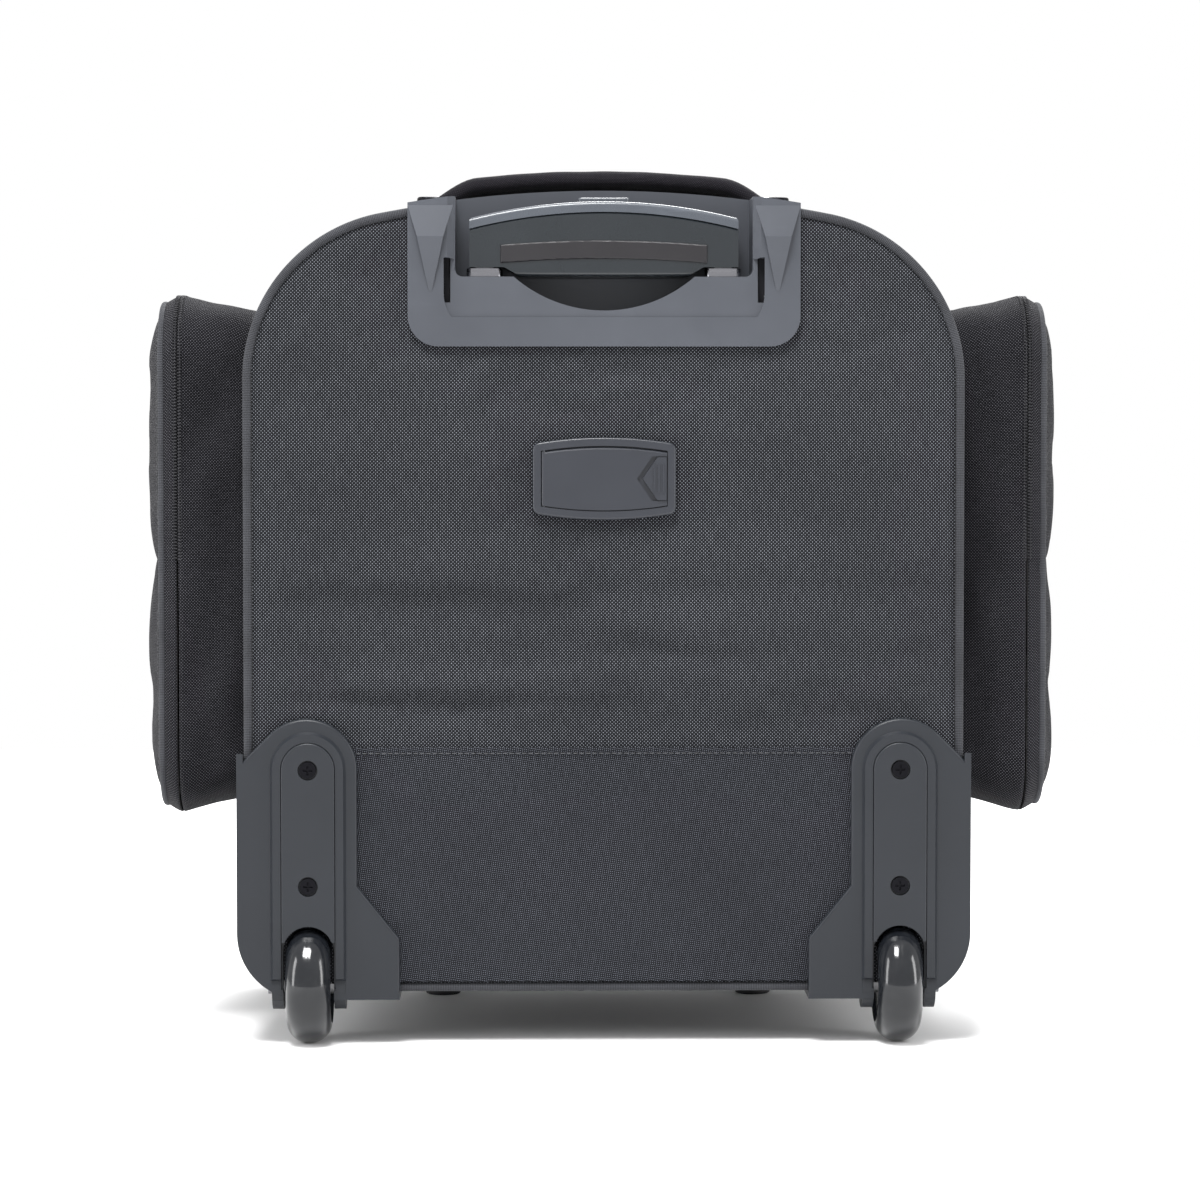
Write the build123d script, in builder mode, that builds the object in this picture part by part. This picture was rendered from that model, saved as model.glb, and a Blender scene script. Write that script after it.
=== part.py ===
from build123d import *

# Rolling flight case: a soft-sided upright case with a two-stage trolley handle, two skate wheels,
# two front feet, a front lid with its own pocket, and one zipped pocket on each side.
#
# Millimetres. +Z is up and the floor is Z = 0. The back, with the trolley and the wheels, faces +Y
# and the front faces -Y. Left is +X, the left hand of someone who looks at the case from behind.
# A "depth" is a distance from the outer face of the back panel towards the front.

import os
from math import asin, atan2, cos, pi, sin

os.makedirs("parts", exist_ok=True)

# ---------------------------------------------------------------- driving dimensions
# case
BACK_Y = 117.0  # Y of the back panel's outer face
BODY_W = 384.0
BODY_LOW = 28.0  # underside above the floor
BODY_TOP = 454.0  # crown of the arched top
ARCH_R = 629.0
SHOULDER_R = 90.0
CORNER_R = 32.0
MIN_CORNER_R = 8.0  # smallest bottom corner of a deeply inset outline
SKIN = 3.0  # gusset: fabric and foam
PIPING = 5.0
PANEL = 4.0  # back panel: fabric, foam and backing
GUSSET_END = 208.0
HINGE_DEPTH = 214.0  # where the body's zipper half meets the lid's
JOINT_GAP = 0.3  # each side of a line that opens
LID_START = 220.0
LID_FACE = 228.0
POCKET_RIM = 240.0  # where the front pocket's gusset ends
FRONT_FACE = 257.0

# wheels
WHEEL_R = 32.0
WHEEL_W = 24.0
WHEEL_X = 157.5  # half of the track
WHEEL_DEPTH = 8.7
WELL_HALF = 13.5
CHEEK = 6.0
HUB_R = 20.0
BEARING_R = 11.0
BEARING_W = 7.0
AXLE_R = 4.0
SPOKES = 6

# trolley
TUBE_X = 63.5
TUBE_DEPTH = 18.0
OUTER_TUBE = 18.0
MID_TUBE = 15.0
INNER_TUBE = 12.0
TUBE_WALL = 1.2
RECESS_HALF = 79.0
RECESS_FLOOR = 409.0
PLATE_HALF = 104.0
PLATE_LOW = 372.0
PLATE_OUT = 2.5  # how far the plate and its flange stand out
GRIP_HALF = 71.5
GRIP_BACK = 6.0
GRIP_FRONT = 30.0

# side pockets
POCKET_W = 157.0
POCKET_H = 280.0
POCKET_DEPTH = 104.0  # centre
POCKET_Z = 260.0
POCKET_CORNER = 32.0
POCKET_WALL = 2.5
POCKET_SEAM_X = 228.0
POCKET_FACE_X = 245.0
POCKET_FOLD_Z = 253.3

# small parts
HANDLE_DEPTH = 134.0
HANDLE_W = 40.0
TAG_Z = 302.0
FOOT_X = 90.0
FOOT_DEPTH = 180.0

SIDES = ((1, "left"), (-1, "right"))
FAR = 600.0  # longer than anything it cuts


# ---------------------------------------------------------------- helpers
def depth_y(depth):
    return BACK_Y - depth


def at_depth(depth):
    """The X-Z plane at a depth; extruding from it goes towards the front."""
    return Plane.XZ.offset(depth - BACK_Y)


def sided(low, high, side):
    """A (low, high) pair along X, mirrored when side is -1."""
    return (low, high) if side > 0 else (-high, -low)


def case_outline(inset=0.0, drop=0.0, lift=0.0):
    """Draws the case's outline in the open line builder, inset from the outer skin. Drop lowers the
    arched top and lift raises the bottom edge."""
    half = BODY_W / 2 - inset
    low = BODY_LOW + inset + lift
    corner_r = max(CORNER_R - inset, MIN_CORNER_R)
    arch_r = ARCH_R - inset
    shoulder_r = SHOULDER_R - inset
    shoulder_x = BODY_W / 2 - SHOULDER_R
    lean = asin(shoulder_x / (ARCH_R - SHOULDER_R))
    arch_z = BODY_TOP - ARCH_R - drop
    shoulder_z = arch_z + (ARCH_R - SHOULDER_R) * cos(lean)
    meet_x = arch_r * sin(lean)
    meet_z = arch_z + arch_r * cos(lean)
    half_way = (lean + pi / 2) / 2
    bulge_x = shoulder_x + shoulder_r * sin(half_way)
    bulge_z = shoulder_z + shoulder_r * cos(half_way)
    heel = corner_r * (1 - sin(pi / 4))
    ThreePointArc((-meet_x, meet_z), (0, arch_z + arch_r), (meet_x, meet_z))
    for side, _ in SIDES:
        ThreePointArc((side * meet_x, meet_z), (side * bulge_x, bulge_z), (side * half, shoulder_z))
        Line((side * half, shoulder_z), (side * half, low + corner_r))
        ThreePointArc(
            (side * half, low + corner_r),
            (side * (half - heel), low + heel),
            (side * (half - corner_r), low),
        )
    Line((half - corner_r, low), (corner_r - half, low))


def case_face(depth, **outline):
    """The face inside the case's outline at a depth."""
    with BuildSketch(at_depth(depth)) as face:
        with BuildLine():
            case_outline(**outline)
        make_face()
    return face.sketch


def fill_case(depth, length, inset=0.0, mode=Mode.ADD):
    """Everything inside the outline over a stretch of depth."""
    extrude(case_face(depth, inset=inset), amount=length, mode=mode)


def case_band(outer, inner, depth, length, mode=Mode.ADD):
    """A band that follows the outline between two insets."""
    with BuildSketch(at_depth(depth)) as band:
        with BuildLine():
            case_outline(inset=outer)
        make_face()
        with BuildLine():
            case_outline(inset=inner)
        make_face(mode=Mode.SUBTRACT)
    extrude(band.sketch, amount=length, mode=mode)


def slab(x, depth, z, mode=Mode.ADD):
    """A box from three (low, high) pairs."""
    with Locations(((x[0] + x[1]) / 2, depth_y((depth[0] + depth[1]) / 2), (z[0] + z[1]) / 2)):
        Box(x[1] - x[0], depth[1] - depth[0], z[1] - z[0], mode=mode)


def rod_x(x, depth, z, radius, mode=Mode.ADD):
    """A rod along X between a (low, high) pair."""
    with Locations(Plane(origin=(x[0], depth_y(depth), z), z_dir=(1, 0, 0))):
        Cylinder(radius, x[1] - x[0], align=(Align.CENTER, Align.CENTER, Align.MIN), mode=mode)


def rod_y(x, depth, z, radius, mode=Mode.ADD):
    """A rod along Y between a (low, high) pair of depths."""
    with Locations(Plane(origin=(x, depth_y(depth[0]), z), z_dir=(0, -1, 0))):
        Cylinder(radius, depth[1] - depth[0], align=(Align.CENTER, Align.CENTER, Align.MIN), mode=mode)


def square_tubes(size, wall, low, high, mode=Mode.ADD):
    """Upright square tubes on both sides of the trolley; a wall of zero makes them solid."""
    with BuildSketch(Plane.XY.offset(low)) as rings:
        with Locations((TUBE_X, depth_y(TUBE_DEPTH)), (-TUBE_X, depth_y(TUBE_DEPTH))):
            RectangleRounded(size, size, size * 0.2)
            if wall:
                RectangleRounded(size - 2 * wall, size - 2 * wall, size * 0.2 - wall / 2, mode=Mode.SUBTRACT)
    extrude(rings.sketch, amount=high - low, mode=mode)


def cut_wells():
    """Clears the space of both wheel housings and of the axle heads outside them."""
    reach = WELL_HALF + CHEEK + 0.5
    for side, _ in SIDES:
        slab(sided(WHEEL_X - reach, WHEEL_X + reach, side), (-10, 48.5), (0, 70.5), Mode.SUBTRACT)
        rod_x(sided(WHEEL_X + reach - 1, FAR, side), WHEEL_DEPTH, WHEEL_R, 8, Mode.SUBTRACT)


def cut_tub():
    """Clears the space of the trolley housing."""
    slab((-82, 82), (-10, 39), (388, 500), Mode.SUBTRACT)
    slab((-76.5, 76.5), (-10, 31), (377, 400), Mode.SUBTRACT)


def finish(piece, name):
    piece.part.label = name
    export_step(piece.part, f"parts/{name}.step")


# screws of the wheel housings: two through each back plate, one through each side plate
BACK_SCREW_Z = (147.4, 85.4)
SIDE_SCREW_DEPTH = 30.7
SIDE_SCREW_Z = 91.7


def cut_screw_holes(radius):
    for side, _ in SIDES:
        for z in BACK_SCREW_Z:
            rod_y(side * WHEEL_X, (-12, 12), z, radius, Mode.SUBTRACT)
        rod_x(sided(180, 200, side), SIDE_SCREW_DEPTH, SIDE_SCREW_Z, radius, Mode.SUBTRACT)


# ---------------------------------------------------------------- case body
with BuildPart() as main_gusset:
    case_band(0, SKIN, PIPING, GUSSET_END - PIPING)
    cut_wells()
    cut_tub()
    cut_screw_holes(2.3)
finish(main_gusset, "main_gusset")

with BuildPart() as back_panel:
    fill_case(0, PANEL, PIPING)
    cut_wells()
    cut_tub()
    cut_screw_holes(2.3)
finish(back_panel, "back_panel")

with BuildPart() as back_piping:
    case_band(0, PIPING, 0, PIPING)
    fillet(back_piping.edges().filter_by(Plane.XZ), PIPING * 0.45)
    cut_wells()
    cut_tub()
finish(back_piping, "back_piping")

# stiff boards: one bent around the compartment, one behind the back panel, one on the bottom
with BuildPart() as frame_boards:
    case_band(SKIN + 0.2, SKIN + 1.8, PIPING + 1, 194)
    fill_case(PANEL + 0.2, 1.6, PIPING + 0.4)
    slab((-156, 156), (8, 200), (BODY_LOW + 5, BODY_LOW + 8))
    cut_wells()
    cut_tub()
    cut_screw_holes(2.3)
finish(frame_boards, "frame_boards")

HOUSING_IN = 109.0  # inner end of a wheel housing's foot
HOUSING_NECK = 131.5  # its inner edge above the foot

# kick panel: tougher fabric between the wheel housings
with BuildPart() as kick_panel:
    with BuildSketch(at_depth(-1.0)):
        with BuildLine():
            Polyline(
                (-HOUSING_IN + 0.5, BODY_LOW + PIPING),
                (-HOUSING_IN + 0.5, 57),
                (-HOUSING_NECK + 0.5, 85.3),
                (-HOUSING_NECK + 0.5, 159),
                (HOUSING_NECK - 0.5, 159),
                (HOUSING_NECK - 0.5, 85.3),
                (HOUSING_IN - 0.5, 57),
                (HOUSING_IN - 0.5, BODY_LOW + PIPING),
                close=True,
            )
        make_face()
    extrude(amount=1.0)
finish(kick_panel, "kick_panel")

# channel over the trolley tubes inside the case
COVER_HALF = 90.0
with BuildPart() as tube_cover:
    slab((-COVER_HALF, COVER_HALF), (31, 33), (BODY_LOW + 9, 376))
    for side, _ in SIDES:
        slab(sided(COVER_HALF - 2, COVER_HALF, side), (6, 31), (BODY_LOW + 9, 376))
finish(tube_cover, "tube_cover")

# ---------------------------------------------------------------- trolley housing
SCOOP_HALF = 48.0
SCOOP_DEEP = 18.0
SUNK_LOW = 378.0
SUNK_LEAN = atan2(4.5, RECESS_FLOOR - SUNK_LOW)

with BuildPart() as trolley_housing:
    # tub around the recess, trimmed to the height of the flange
    slab((-81.5, 81.5), (-PLATE_OUT, 38.5), (388.5, 470))
    extrude(case_face(-10, inset=-PLATE_OUT), amount=80, mode=Mode.INTERSECT)
    # sockets around the tubes
    for side, _ in SIDES:
        slab(sided(TUBE_X - 12, TUBE_X + 12, side), (-PLATE_OUT, 30.5), (378, 390))
    # back plate
    with BuildSketch(at_depth(-PLATE_OUT)):
        with BuildLine():
            case_outline(inset=-PLATE_OUT)
        make_face()
        with Locations((0, PLATE_LOW + 100)):
            RectangleRounded(2 * PLATE_HALF, 200, 16, mode=Mode.INTERSECT)
    extrude(amount=PLATE_OUT)
    # flange over the top of the case
    with BuildSketch(at_depth(-PLATE_OUT)):
        with BuildLine():
            case_outline(inset=-PLATE_OUT)
        make_face()
        with BuildLine():
            case_outline()
        make_face(mode=Mode.SUBTRACT)
        with Locations((0, BODY_TOP)):
            Rectangle(2 * PLATE_HALF, 60, mode=Mode.INTERSECT)
    extrude(amount=66 + PLATE_OUT)
    # sloping cap on each post, and the keel that fades out below it
    for side, _ in SIDES:
        with BuildSketch(Plane.XY.offset(446.5)):
            with Locations((side * 92, BACK_Y + 1.3)):
                Rectangle(24, 2.6)
        with BuildSketch(Plane.XY.offset(430)):
            with Locations((side * 92, BACK_Y + 3.2)):
                Rectangle(14, 6.4)
        loft()
        with BuildSketch(Plane.XY.offset(430)):
            with Locations((side * 92, BACK_Y + 3.2)):
                Rectangle(14, 6.4)
        with BuildSketch(Plane.XY.offset(401)):
            with Locations((side * 92, BACK_Y + 1.3)):
                Rectangle(1.5, 2.6)
        loft()
    # sunken face below the recess, leaning in towards the top
    lean_plane = Plane(
        origin=(0, depth_y(-PLATE_OUT), SUNK_LOW),
        x_dir=(-1, 0, 0),
        z_dir=(0, cos(SUNK_LEAN), sin(SUNK_LEAN)),
    )
    with BuildSketch(lean_plane):
        with Locations((0, 50)):
            RectangleRounded(170, 100, 22)
        with Locations((0, 15.6 + 25)):
            Rectangle(170, 31.2, align=(Align.CENTER, Align.MAX), mode=Mode.INTERSECT)
    extrude(amount=20, mode=Mode.SUBTRACT)
    # recess for the grip, open to the top and the back, with a flared mouth
    with BuildSketch(at_depth(-12)):
        with Locations((0, RECESS_FLOOR + 60)):
            RectangleRounded(2 * RECESS_HALF, 120, 4)
    extrude(amount=48, mode=Mode.SUBTRACT)
    with BuildSketch(at_depth(-PLATE_OUT)):
        with Locations((0, RECESS_FLOOR + 60)):
            Rectangle(2 * RECESS_HALF + 8, 120)
    extrude(amount=6, taper=33, mode=Mode.SUBTRACT)
    # finger scoop
    with BuildSketch(at_depth(-12)):
        with BuildLine():
            ThreePointArc(
                (-SCOOP_HALF, RECESS_FLOOR),
                (0, RECESS_FLOOR - SCOOP_DEEP),
                (SCOOP_HALF, RECESS_FLOOR),
            )
            Polyline(
                (SCOOP_HALF, RECESS_FLOOR),
                (SCOOP_HALF, RECESS_FLOOR + 2),
                (-SCOOP_HALF, RECESS_FLOOR + 2),
                (-SCOOP_HALF, RECESS_FLOOR),
            )
        make_face()
    extrude(amount=46, mode=Mode.SUBTRACT)
    square_tubes(OUTER_TUBE + 0.3, 0, 370, 405, Mode.SUBTRACT)
    square_tubes(MID_TUBE + 0.9, 0, 400, 415, Mode.SUBTRACT)
finish(trolley_housing, "trolley_housing")

with BuildPart() as housing_studs:
    with BuildSketch(Plane.XY.offset(445)):
        with Locations((94, depth_y(29)), (-94, depth_y(29))):
            Circle(5.8)
    extrude(amount=7.6)
    fillet(housing_studs.faces().filter_by(Axis.Z).group_by(Axis.Z)[-1].edges(), 1.4)
    fill_case(-10, 90, -PLATE_OUT, Mode.SUBTRACT)
finish(housing_studs, "housing_studs")

# ---------------------------------------------------------------- trolley tubes
with BuildPart() as outer_tubes:
    square_tubes(OUTER_TUBE, TUBE_WALL, 44, 405)
finish(outer_tubes, "outer_tubes")

with BuildPart() as mid_tubes:
    square_tubes(MID_TUBE, TUBE_WALL, 52, 411)
finish(mid_tubes, "mid_tubes")

with BuildPart() as inner_tubes:
    square_tubes(INNER_TUBE, 1.0, 58, 424)
finish(inner_tubes, "inner_tubes")

# plastic shoes that guide each tube inside the next
with BuildPart() as mid_tube_shoes:
    square_tubes(OUTER_TUBE - 2 * TUBE_WALL - 0.2, 2.6, 46, 52)
finish(mid_tube_shoes, "mid_tube_shoes")

with BuildPart() as inner_tube_shoes:
    square_tubes(MID_TUBE - 2 * TUBE_WALL - 0.2, 3.2, 53, 58)
finish(inner_tube_shoes, "inner_tube_shoes")

with BuildPart() as mid_tube_collars:
    square_tubes(19, (19 - MID_TUBE) / 2, 409.4, 411)
    square_tubes(19, (19 - INNER_TUBE - 0.6) / 2, 411, 413.6)
finish(mid_tube_collars, "mid_tube_collars")

# bar that ties the feet of the tubes together
with BuildPart() as tube_base_bar:
    slab((-78, 78), (6.2, 30.5), (38.2, 44))
    for side, _ in SIDES:
        slab(sided(TUBE_X - 12, TUBE_X + 12, side), (6.2, 30.5), (44, 62))
    square_tubes(OUTER_TUBE + 0.1, 0, 44, 70, Mode.SUBTRACT)
finish(tube_base_bar, "tube_base_bar")

# ---------------------------------------------------------------- trolley grip
LEG_LOW = 414.2
LIP_LOW = 409.6
SHOULDER_Z = 434.5  # where cover and frame meet at the ends
CROWN_Z = 443.5  # and in the middle
COVER_T = 5.6
BAR_LOW = 432.4  # underside of the push bar
BUTTON_TRAVEL = 2.0


def grip_arc(rise=0.0, half=GRIP_HALF, ends=SHOULDER_Z, crown=CROWN_Z):
    ThreePointArc((-half, ends + rise), (0, crown + rise), (half, ends + rise))


def rubber_outline(gap=0.0):
    """The long arched window of the frame; gap makes it smaller all round."""
    half = 55 - gap
    grip_arc(gap, half, 416.2, 418.6)
    grip_arc(-gap, half, 426.0, 428.4)
    for side, _ in SIDES:
        Line((side * half, 416.2 + gap), (side * half, 426.0 - gap))


with BuildPart() as grip_frame:
    with BuildSketch(at_depth(GRIP_BACK)):
        with BuildLine():
            grip_arc()
            Polyline(
                (GRIP_HALF, SHOULDER_Z),
                (GRIP_HALF, LEG_LOW),
                (53, LEG_LOW),
                (45, LIP_LOW),
                (-45, LIP_LOW),
                (-53, LEG_LOW),
                (-GRIP_HALF, LEG_LOW),
                (-GRIP_HALF, SHOULDER_Z),
            )
        make_face()
    extrude(amount=GRIP_FRONT - GRIP_BACK)
    # rounded outside, with a shallow groove under the cover
    chamfer(grip_frame.faces().sort_by(Axis.Z)[-1].edges(), 1.2)
    fillet(grip_frame.faces().filter_by(Axis.Z).sort_by(Axis.Z)[0].edges(), 2.0)
    with BuildSketch(at_depth(GRIP_BACK - 1)):
        with BuildLine():
            rubber_outline()
        make_face()
    extrude(amount=GRIP_FRONT - GRIP_BACK + 2, mode=Mode.SUBTRACT)
    # channel for the push bar, sockets for the inner tubes, and the wells of the return springs
    slab((-67.5, 67.5), (14, 22), (430, 450), Mode.SUBTRACT)
    square_tubes(INNER_TUBE + 0.04, 0, 410, 424, Mode.SUBTRACT)
    with BuildSketch(Plane.XY.offset(423)):
        with Locations((TUBE_X, depth_y(TUBE_DEPTH)), (-TUBE_X, depth_y(TUBE_DEPTH))):
            Circle(3.8)
    extrude(amount=8, mode=Mode.SUBTRACT)
finish(grip_frame, "grip_frame")

with BuildPart() as grip_cover:
    with BuildSketch(at_depth(GRIP_BACK)):
        with BuildLine():
            grip_arc()
            grip_arc(COVER_T)
            for side, _ in SIDES:
                Line((side * GRIP_HALF, SHOULDER_Z), (side * GRIP_HALF, SHOULDER_Z + COVER_T))
        make_face()
    extrude(amount=GRIP_FRONT - GRIP_BACK)
    fillet(grip_cover.faces().sort_by(Axis.Z)[-1].edges(), 2.2)
    slab((-14, 14), (12, 24), (430, 460), Mode.SUBTRACT)
finish(grip_cover, "grip_cover")

with BuildPart() as grip_rubber:
    with BuildSketch(at_depth(GRIP_BACK - 0.8)):
        with BuildLine():
            rubber_outline(0.05)
        make_face()
    extrude(amount=GRIP_FRONT - GRIP_BACK + 1.6)
    fillet(grip_rubber.faces().filter_by(Axis.Y).edges(), 0.7)
finish(grip_rubber, "grip_rubber")

with BuildPart() as grip_button:
    slab((-13.5, 13.5), (12.5, 23.5), (445.6, 451.4))
    fillet(grip_button.edges().filter_by(Axis.Z), 1.8)
    fillet(grip_button.faces().sort_by(Axis.Z)[-1].edges(), 1.0)
    slab((-6, 6), (15, 21), (BAR_LOW, 446))
    slab((-67, 67), (15, 21), (BAR_LOW, BAR_LOW + 2.6))
finish(grip_button, "grip_button")

with BuildPart() as push_rods:
    with BuildSketch(Plane.XY.offset(62)):
        with Locations((TUBE_X, depth_y(TUBE_DEPTH)), (-TUBE_X, depth_y(TUBE_DEPTH))):
            Circle(2.0)
    extrude(amount=BAR_LOW - 62)
finish(push_rods, "push_rods")

# return springs around the push rods, drawn as sleeves of their outer and inner size
with BuildPart() as button_springs:
    with BuildSketch(Plane.XY.offset(424.1)):
        with Locations((TUBE_X, depth_y(TUBE_DEPTH)), (-TUBE_X, depth_y(TUBE_DEPTH))):
            Circle(3.4)
            Circle(2.4, mode=Mode.SUBTRACT)
    extrude(amount=BAR_LOW - 424.2)
finish(button_springs, "button_springs")

# ---------------------------------------------------------------- wheel housings
WRAP = 3.5  # wall of the housing outside the fabric
PLATE = 4.5  # back plate
ARCH_X = 158.5
ARCH_Z = 147.4
ARCH_TOP_R = ARCH_X - HOUSING_NECK
SLOT_TOP = 64.0  # top of the opening around the wheel
SLANT = ARCH_TOP_R * sin(pi / 4)


def pill(side, radius, low, high):
    """An upright slot with a round top, centred on the wheel."""
    with Locations((side * WHEEL_X, (low + high - radius) / 2)):
        Rectangle(2 * radius, high - radius - low)
    with Locations((side * WHEEL_X, high - radius)):
        Circle(radius)


for side, name in SIDES:
    # side view of the wrap, drawn across the whole case
    with BuildPart() as side_profile:
        with BuildSketch(Plane.YZ.offset(-FAR / 2)):
            with BuildLine():
                Polyline(
                    (depth_y(-PLATE), 20),
                    (depth_y(-PLATE), 156),
                    (depth_y(4), 153),
                    (depth_y(57), 78),
                    (depth_y(60), 67),
                    (depth_y(60), 20),
                    close=True,
                )
            make_face()
        extrude(amount=FAR)

    with BuildPart() as wrap:
        case_band(-WRAP, 0, -PLATE, 66)
        add(side_profile.part, mode=Mode.INTERSECT)
        slab(sided(HOUSING_IN, 200, side), (-10, 70), (0, 170), Mode.INTERSECT)

    with BuildPart() as wheel_housing:
        # back plate, trimmed to the wrapped corner
        with BuildSketch(at_depth(-PLATE)):
            with BuildLine():
                Polyline(
                    (side * HOUSING_NECK, ARCH_Z),
                    (side * HOUSING_NECK, 85),
                    (side * HOUSING_IN, 57),
                    (side * HOUSING_IN, 20),
                    (side * 200, 20),
                    (side * 200, ARCH_Z + SLANT - (200 - ARCH_X - SLANT)),
                    (side * (ARCH_X + SLANT), ARCH_Z + SLANT),
                )
                ThreePointArc(
                    (side * HOUSING_NECK, ARCH_Z),
                    (side * (ARCH_X - ARCH_TOP_R * sin(pi / 8)), ARCH_Z + ARCH_TOP_R * cos(pi / 8)),
                    (side * (ARCH_X + SLANT), ARCH_Z + SLANT),
                )
            make_face()
        extrude(amount=PLATE)
        fill_case(-8, 12, -WRAP, Mode.INTERSECT)
        fillet(wheel_housing.faces().sort_by(Axis.Y)[-1].edges(), 1.6)
        # raised collar around the cover
        with BuildSketch(at_depth(-PLATE - 2.3)):
            pill(side, 18.8, 36, 166.3)
        extrude(amount=2.4, taper=-30)
        add(wrap.part)
        # well around the wheel, and the cheeks that carry the axle
        slab(sided(WHEEL_X - 16.5, WHEEL_X + 16.5, side), (-0.5, 48), (BODY_LOW - 0.5, 70))
        for start in (WHEEL_X - WELL_HALF - CHEEK, WHEEL_X + WELL_HALF):
            cheek = sided(start, start + CHEEK, side)
            slab(cheek, (-PLATE, 20.7), (WHEEL_R, 62))
            slab(cheek, (-PLATE + 1.5, 20.7), (24, WHEEL_R + 1))
            rod_x(cheek, WHEEL_DEPTH, WHEEL_R, 14)
        slab(sided(WHEEL_X - WELL_HALF, WHEEL_X + WELL_HALF, side), (-1, 45), (0, 67), Mode.SUBTRACT)
        with BuildSketch(at_depth(-12)):
            pill(side, WELL_HALF, 0, SLOT_TOP)
        extrude(amount=24, mode=Mode.SUBTRACT)
        # seat of the cover, screw holes and axle hole
        with BuildSketch(at_depth(-12)):
            pill(side, 14.5, 30, 162.1)
        extrude(amount=9, mode=Mode.SUBTRACT)
        for z in BACK_SCREW_Z:
            rod_y(side * WHEEL_X, (-6, 3), z, 2.0, Mode.SUBTRACT)
        rod_x(sided(190, 200, side), SIDE_SCREW_DEPTH, SIDE_SCREW_Z, 2.0, Mode.SUBTRACT)
        rod_x(sided(193.4, 200, side), SIDE_SCREW_DEPTH, SIDE_SCREW_Z, 5.4, Mode.SUBTRACT)
        rod_x(sided(WHEEL_X - 25, WHEEL_X + 25, side), WHEEL_DEPTH, WHEEL_R, AXLE_R, Mode.SUBTRACT)
        rod_x(sided(WHEEL_X + WELL_HALF + CHEEK, FAR, side), WHEEL_DEPTH, WHEEL_R, 7.6, Mode.SUBTRACT)
    finish(wheel_housing, f"wheel_housing_{name}")

# pill-shaped covers, each with two counterbored screw holes
with BuildPart() as wheel_covers:
    for side, _ in SIDES:
        with BuildSketch(at_depth(-7.6)):
            pill(side, 14.2, SLOT_TOP - WELL_HALF + 5, 161.8)
            with Locations((side * WHEEL_X, SLOT_TOP - WELL_HALF)):
                Circle(WELL_HALF + 0.1, mode=Mode.SUBTRACT)
    extrude(amount=4.6)
    for face in wheel_covers.faces().filter_by(Axis.Y).group_by(Axis.Y)[-1]:
        fillet(face.edges().sort_by(Axis.Z)[-3:], 0.9)
    for side, _ in SIDES:
        for z in BACK_SCREW_Z:
            rod_y(side * WHEEL_X, (-9, -5), z, 5.3, Mode.SUBTRACT)
            rod_y(side * WHEEL_X, (-9, 0), z, 2.2, Mode.SUBTRACT)
finish(wheel_covers, "wheel_covers")


def screw(plane, length):
    """A cross-head screw: the plane is under its head, facing out."""
    with BuildSketch(plane) as head:
        Circle(4.4)
    extrude(head.sketch, amount=2.0)
    with BuildSketch(plane) as shank:
        Circle(2.0)
    extrude(shank.sketch, amount=-length)
    with BuildSketch(plane.offset(2.0)) as cross:
        Rectangle(5.0, 1.1)
        Rectangle(1.1, 5.0)
    extrude(cross.sketch, amount=-1.3, mode=Mode.SUBTRACT)


with BuildPart() as housing_screws:
    for side, _ in SIDES:
        for z in BACK_SCREW_Z:
            screw(Plane(origin=(side * WHEEL_X, depth_y(-5), z), z_dir=(0, 1, 0)), 14)
        screw(Plane(origin=(side * 193.4, depth_y(SIDE_SCREW_DEPTH), SIDE_SCREW_Z), z_dir=(side, 0, 0)), 14)
finish(housing_screws, "housing_screws")

# ---------------------------------------------------------------- wheels
for side, name in SIDES:
    centre = (side * WHEEL_X, depth_y(WHEEL_DEPTH), WHEEL_R)
    hub_plane = Plane(origin=centre, x_dir=(0, 1, 0), z_dir=(1, 0, 0))
    section = Plane(origin=centre, x_dir=(1, 0, 0), z_dir=(0, -1, 0))

    with BuildPart() as wheel_tyre:
        with BuildSketch(section):
            with BuildLine():
                half = WHEEL_W / 2
                Polyline((-half, 22), (2 - half, HUB_R), (half - 2, HUB_R), (half, 22))
                ThreePointArc((half, 22), (half - 2.5, 28), (0, WHEEL_R))
                ThreePointArc((0, WHEEL_R), (2.5 - half, 28), (-half, 22))
            make_face()
        revolve(axis=Axis(centre, (1, 0, 0)))
    finish(wheel_tyre, f"wheel_tyre_{name}")

    with BuildPart() as wheel_hub:
        with BuildSketch(hub_plane.offset(-10)):
            Circle(HUB_R)
            Circle(BEARING_R, mode=Mode.SUBTRACT)
        extrude(amount=20)
        # windows between the spokes
        with BuildSketch(hub_plane.offset(-12)):
            Circle(17.8)
            Circle(13.6, mode=Mode.SUBTRACT)
            with PolarLocations(15.5, SPOKES):
                Rectangle(6.5, 3.2, mode=Mode.SUBTRACT)
        extrude(amount=24, mode=Mode.SUBTRACT)
        # shoulder between the bearings
        with BuildSketch(hub_plane.offset(-3)):
            Circle(BEARING_R)
            Circle(9, mode=Mode.SUBTRACT)
        extrude(amount=6)
    finish(wheel_hub, f"wheel_hub_{name}")

    with BuildPart() as bearing_outer_races:
        for start in (-10, 3):
            with BuildSketch(hub_plane.offset(start)):
                Circle(BEARING_R)
                Circle(6.4, mode=Mode.SUBTRACT)
            extrude(amount=BEARING_W)
    finish(bearing_outer_races, f"bearing_outer_races_{name}")

# on each axle: inner races, the spacer between them, and a washer beside each cheek
with BuildPart() as bearing_inner_races:
    for side, _ in SIDES:
        for start, radius, length in ((-10, 6.1, 7), (-3, 5.6, 6), (3, 6.1, 7)):
            span = (side * WHEEL_X + start, side * WHEEL_X + start + length)
            rod_x(span, WHEEL_DEPTH, WHEEL_R, radius)
        rod_x((side * WHEEL_X - 10, side * WHEEL_X + 10), WHEEL_DEPTH, WHEEL_R, AXLE_R, Mode.SUBTRACT)
finish(bearing_inner_races, "bearing_inner_races")

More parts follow.
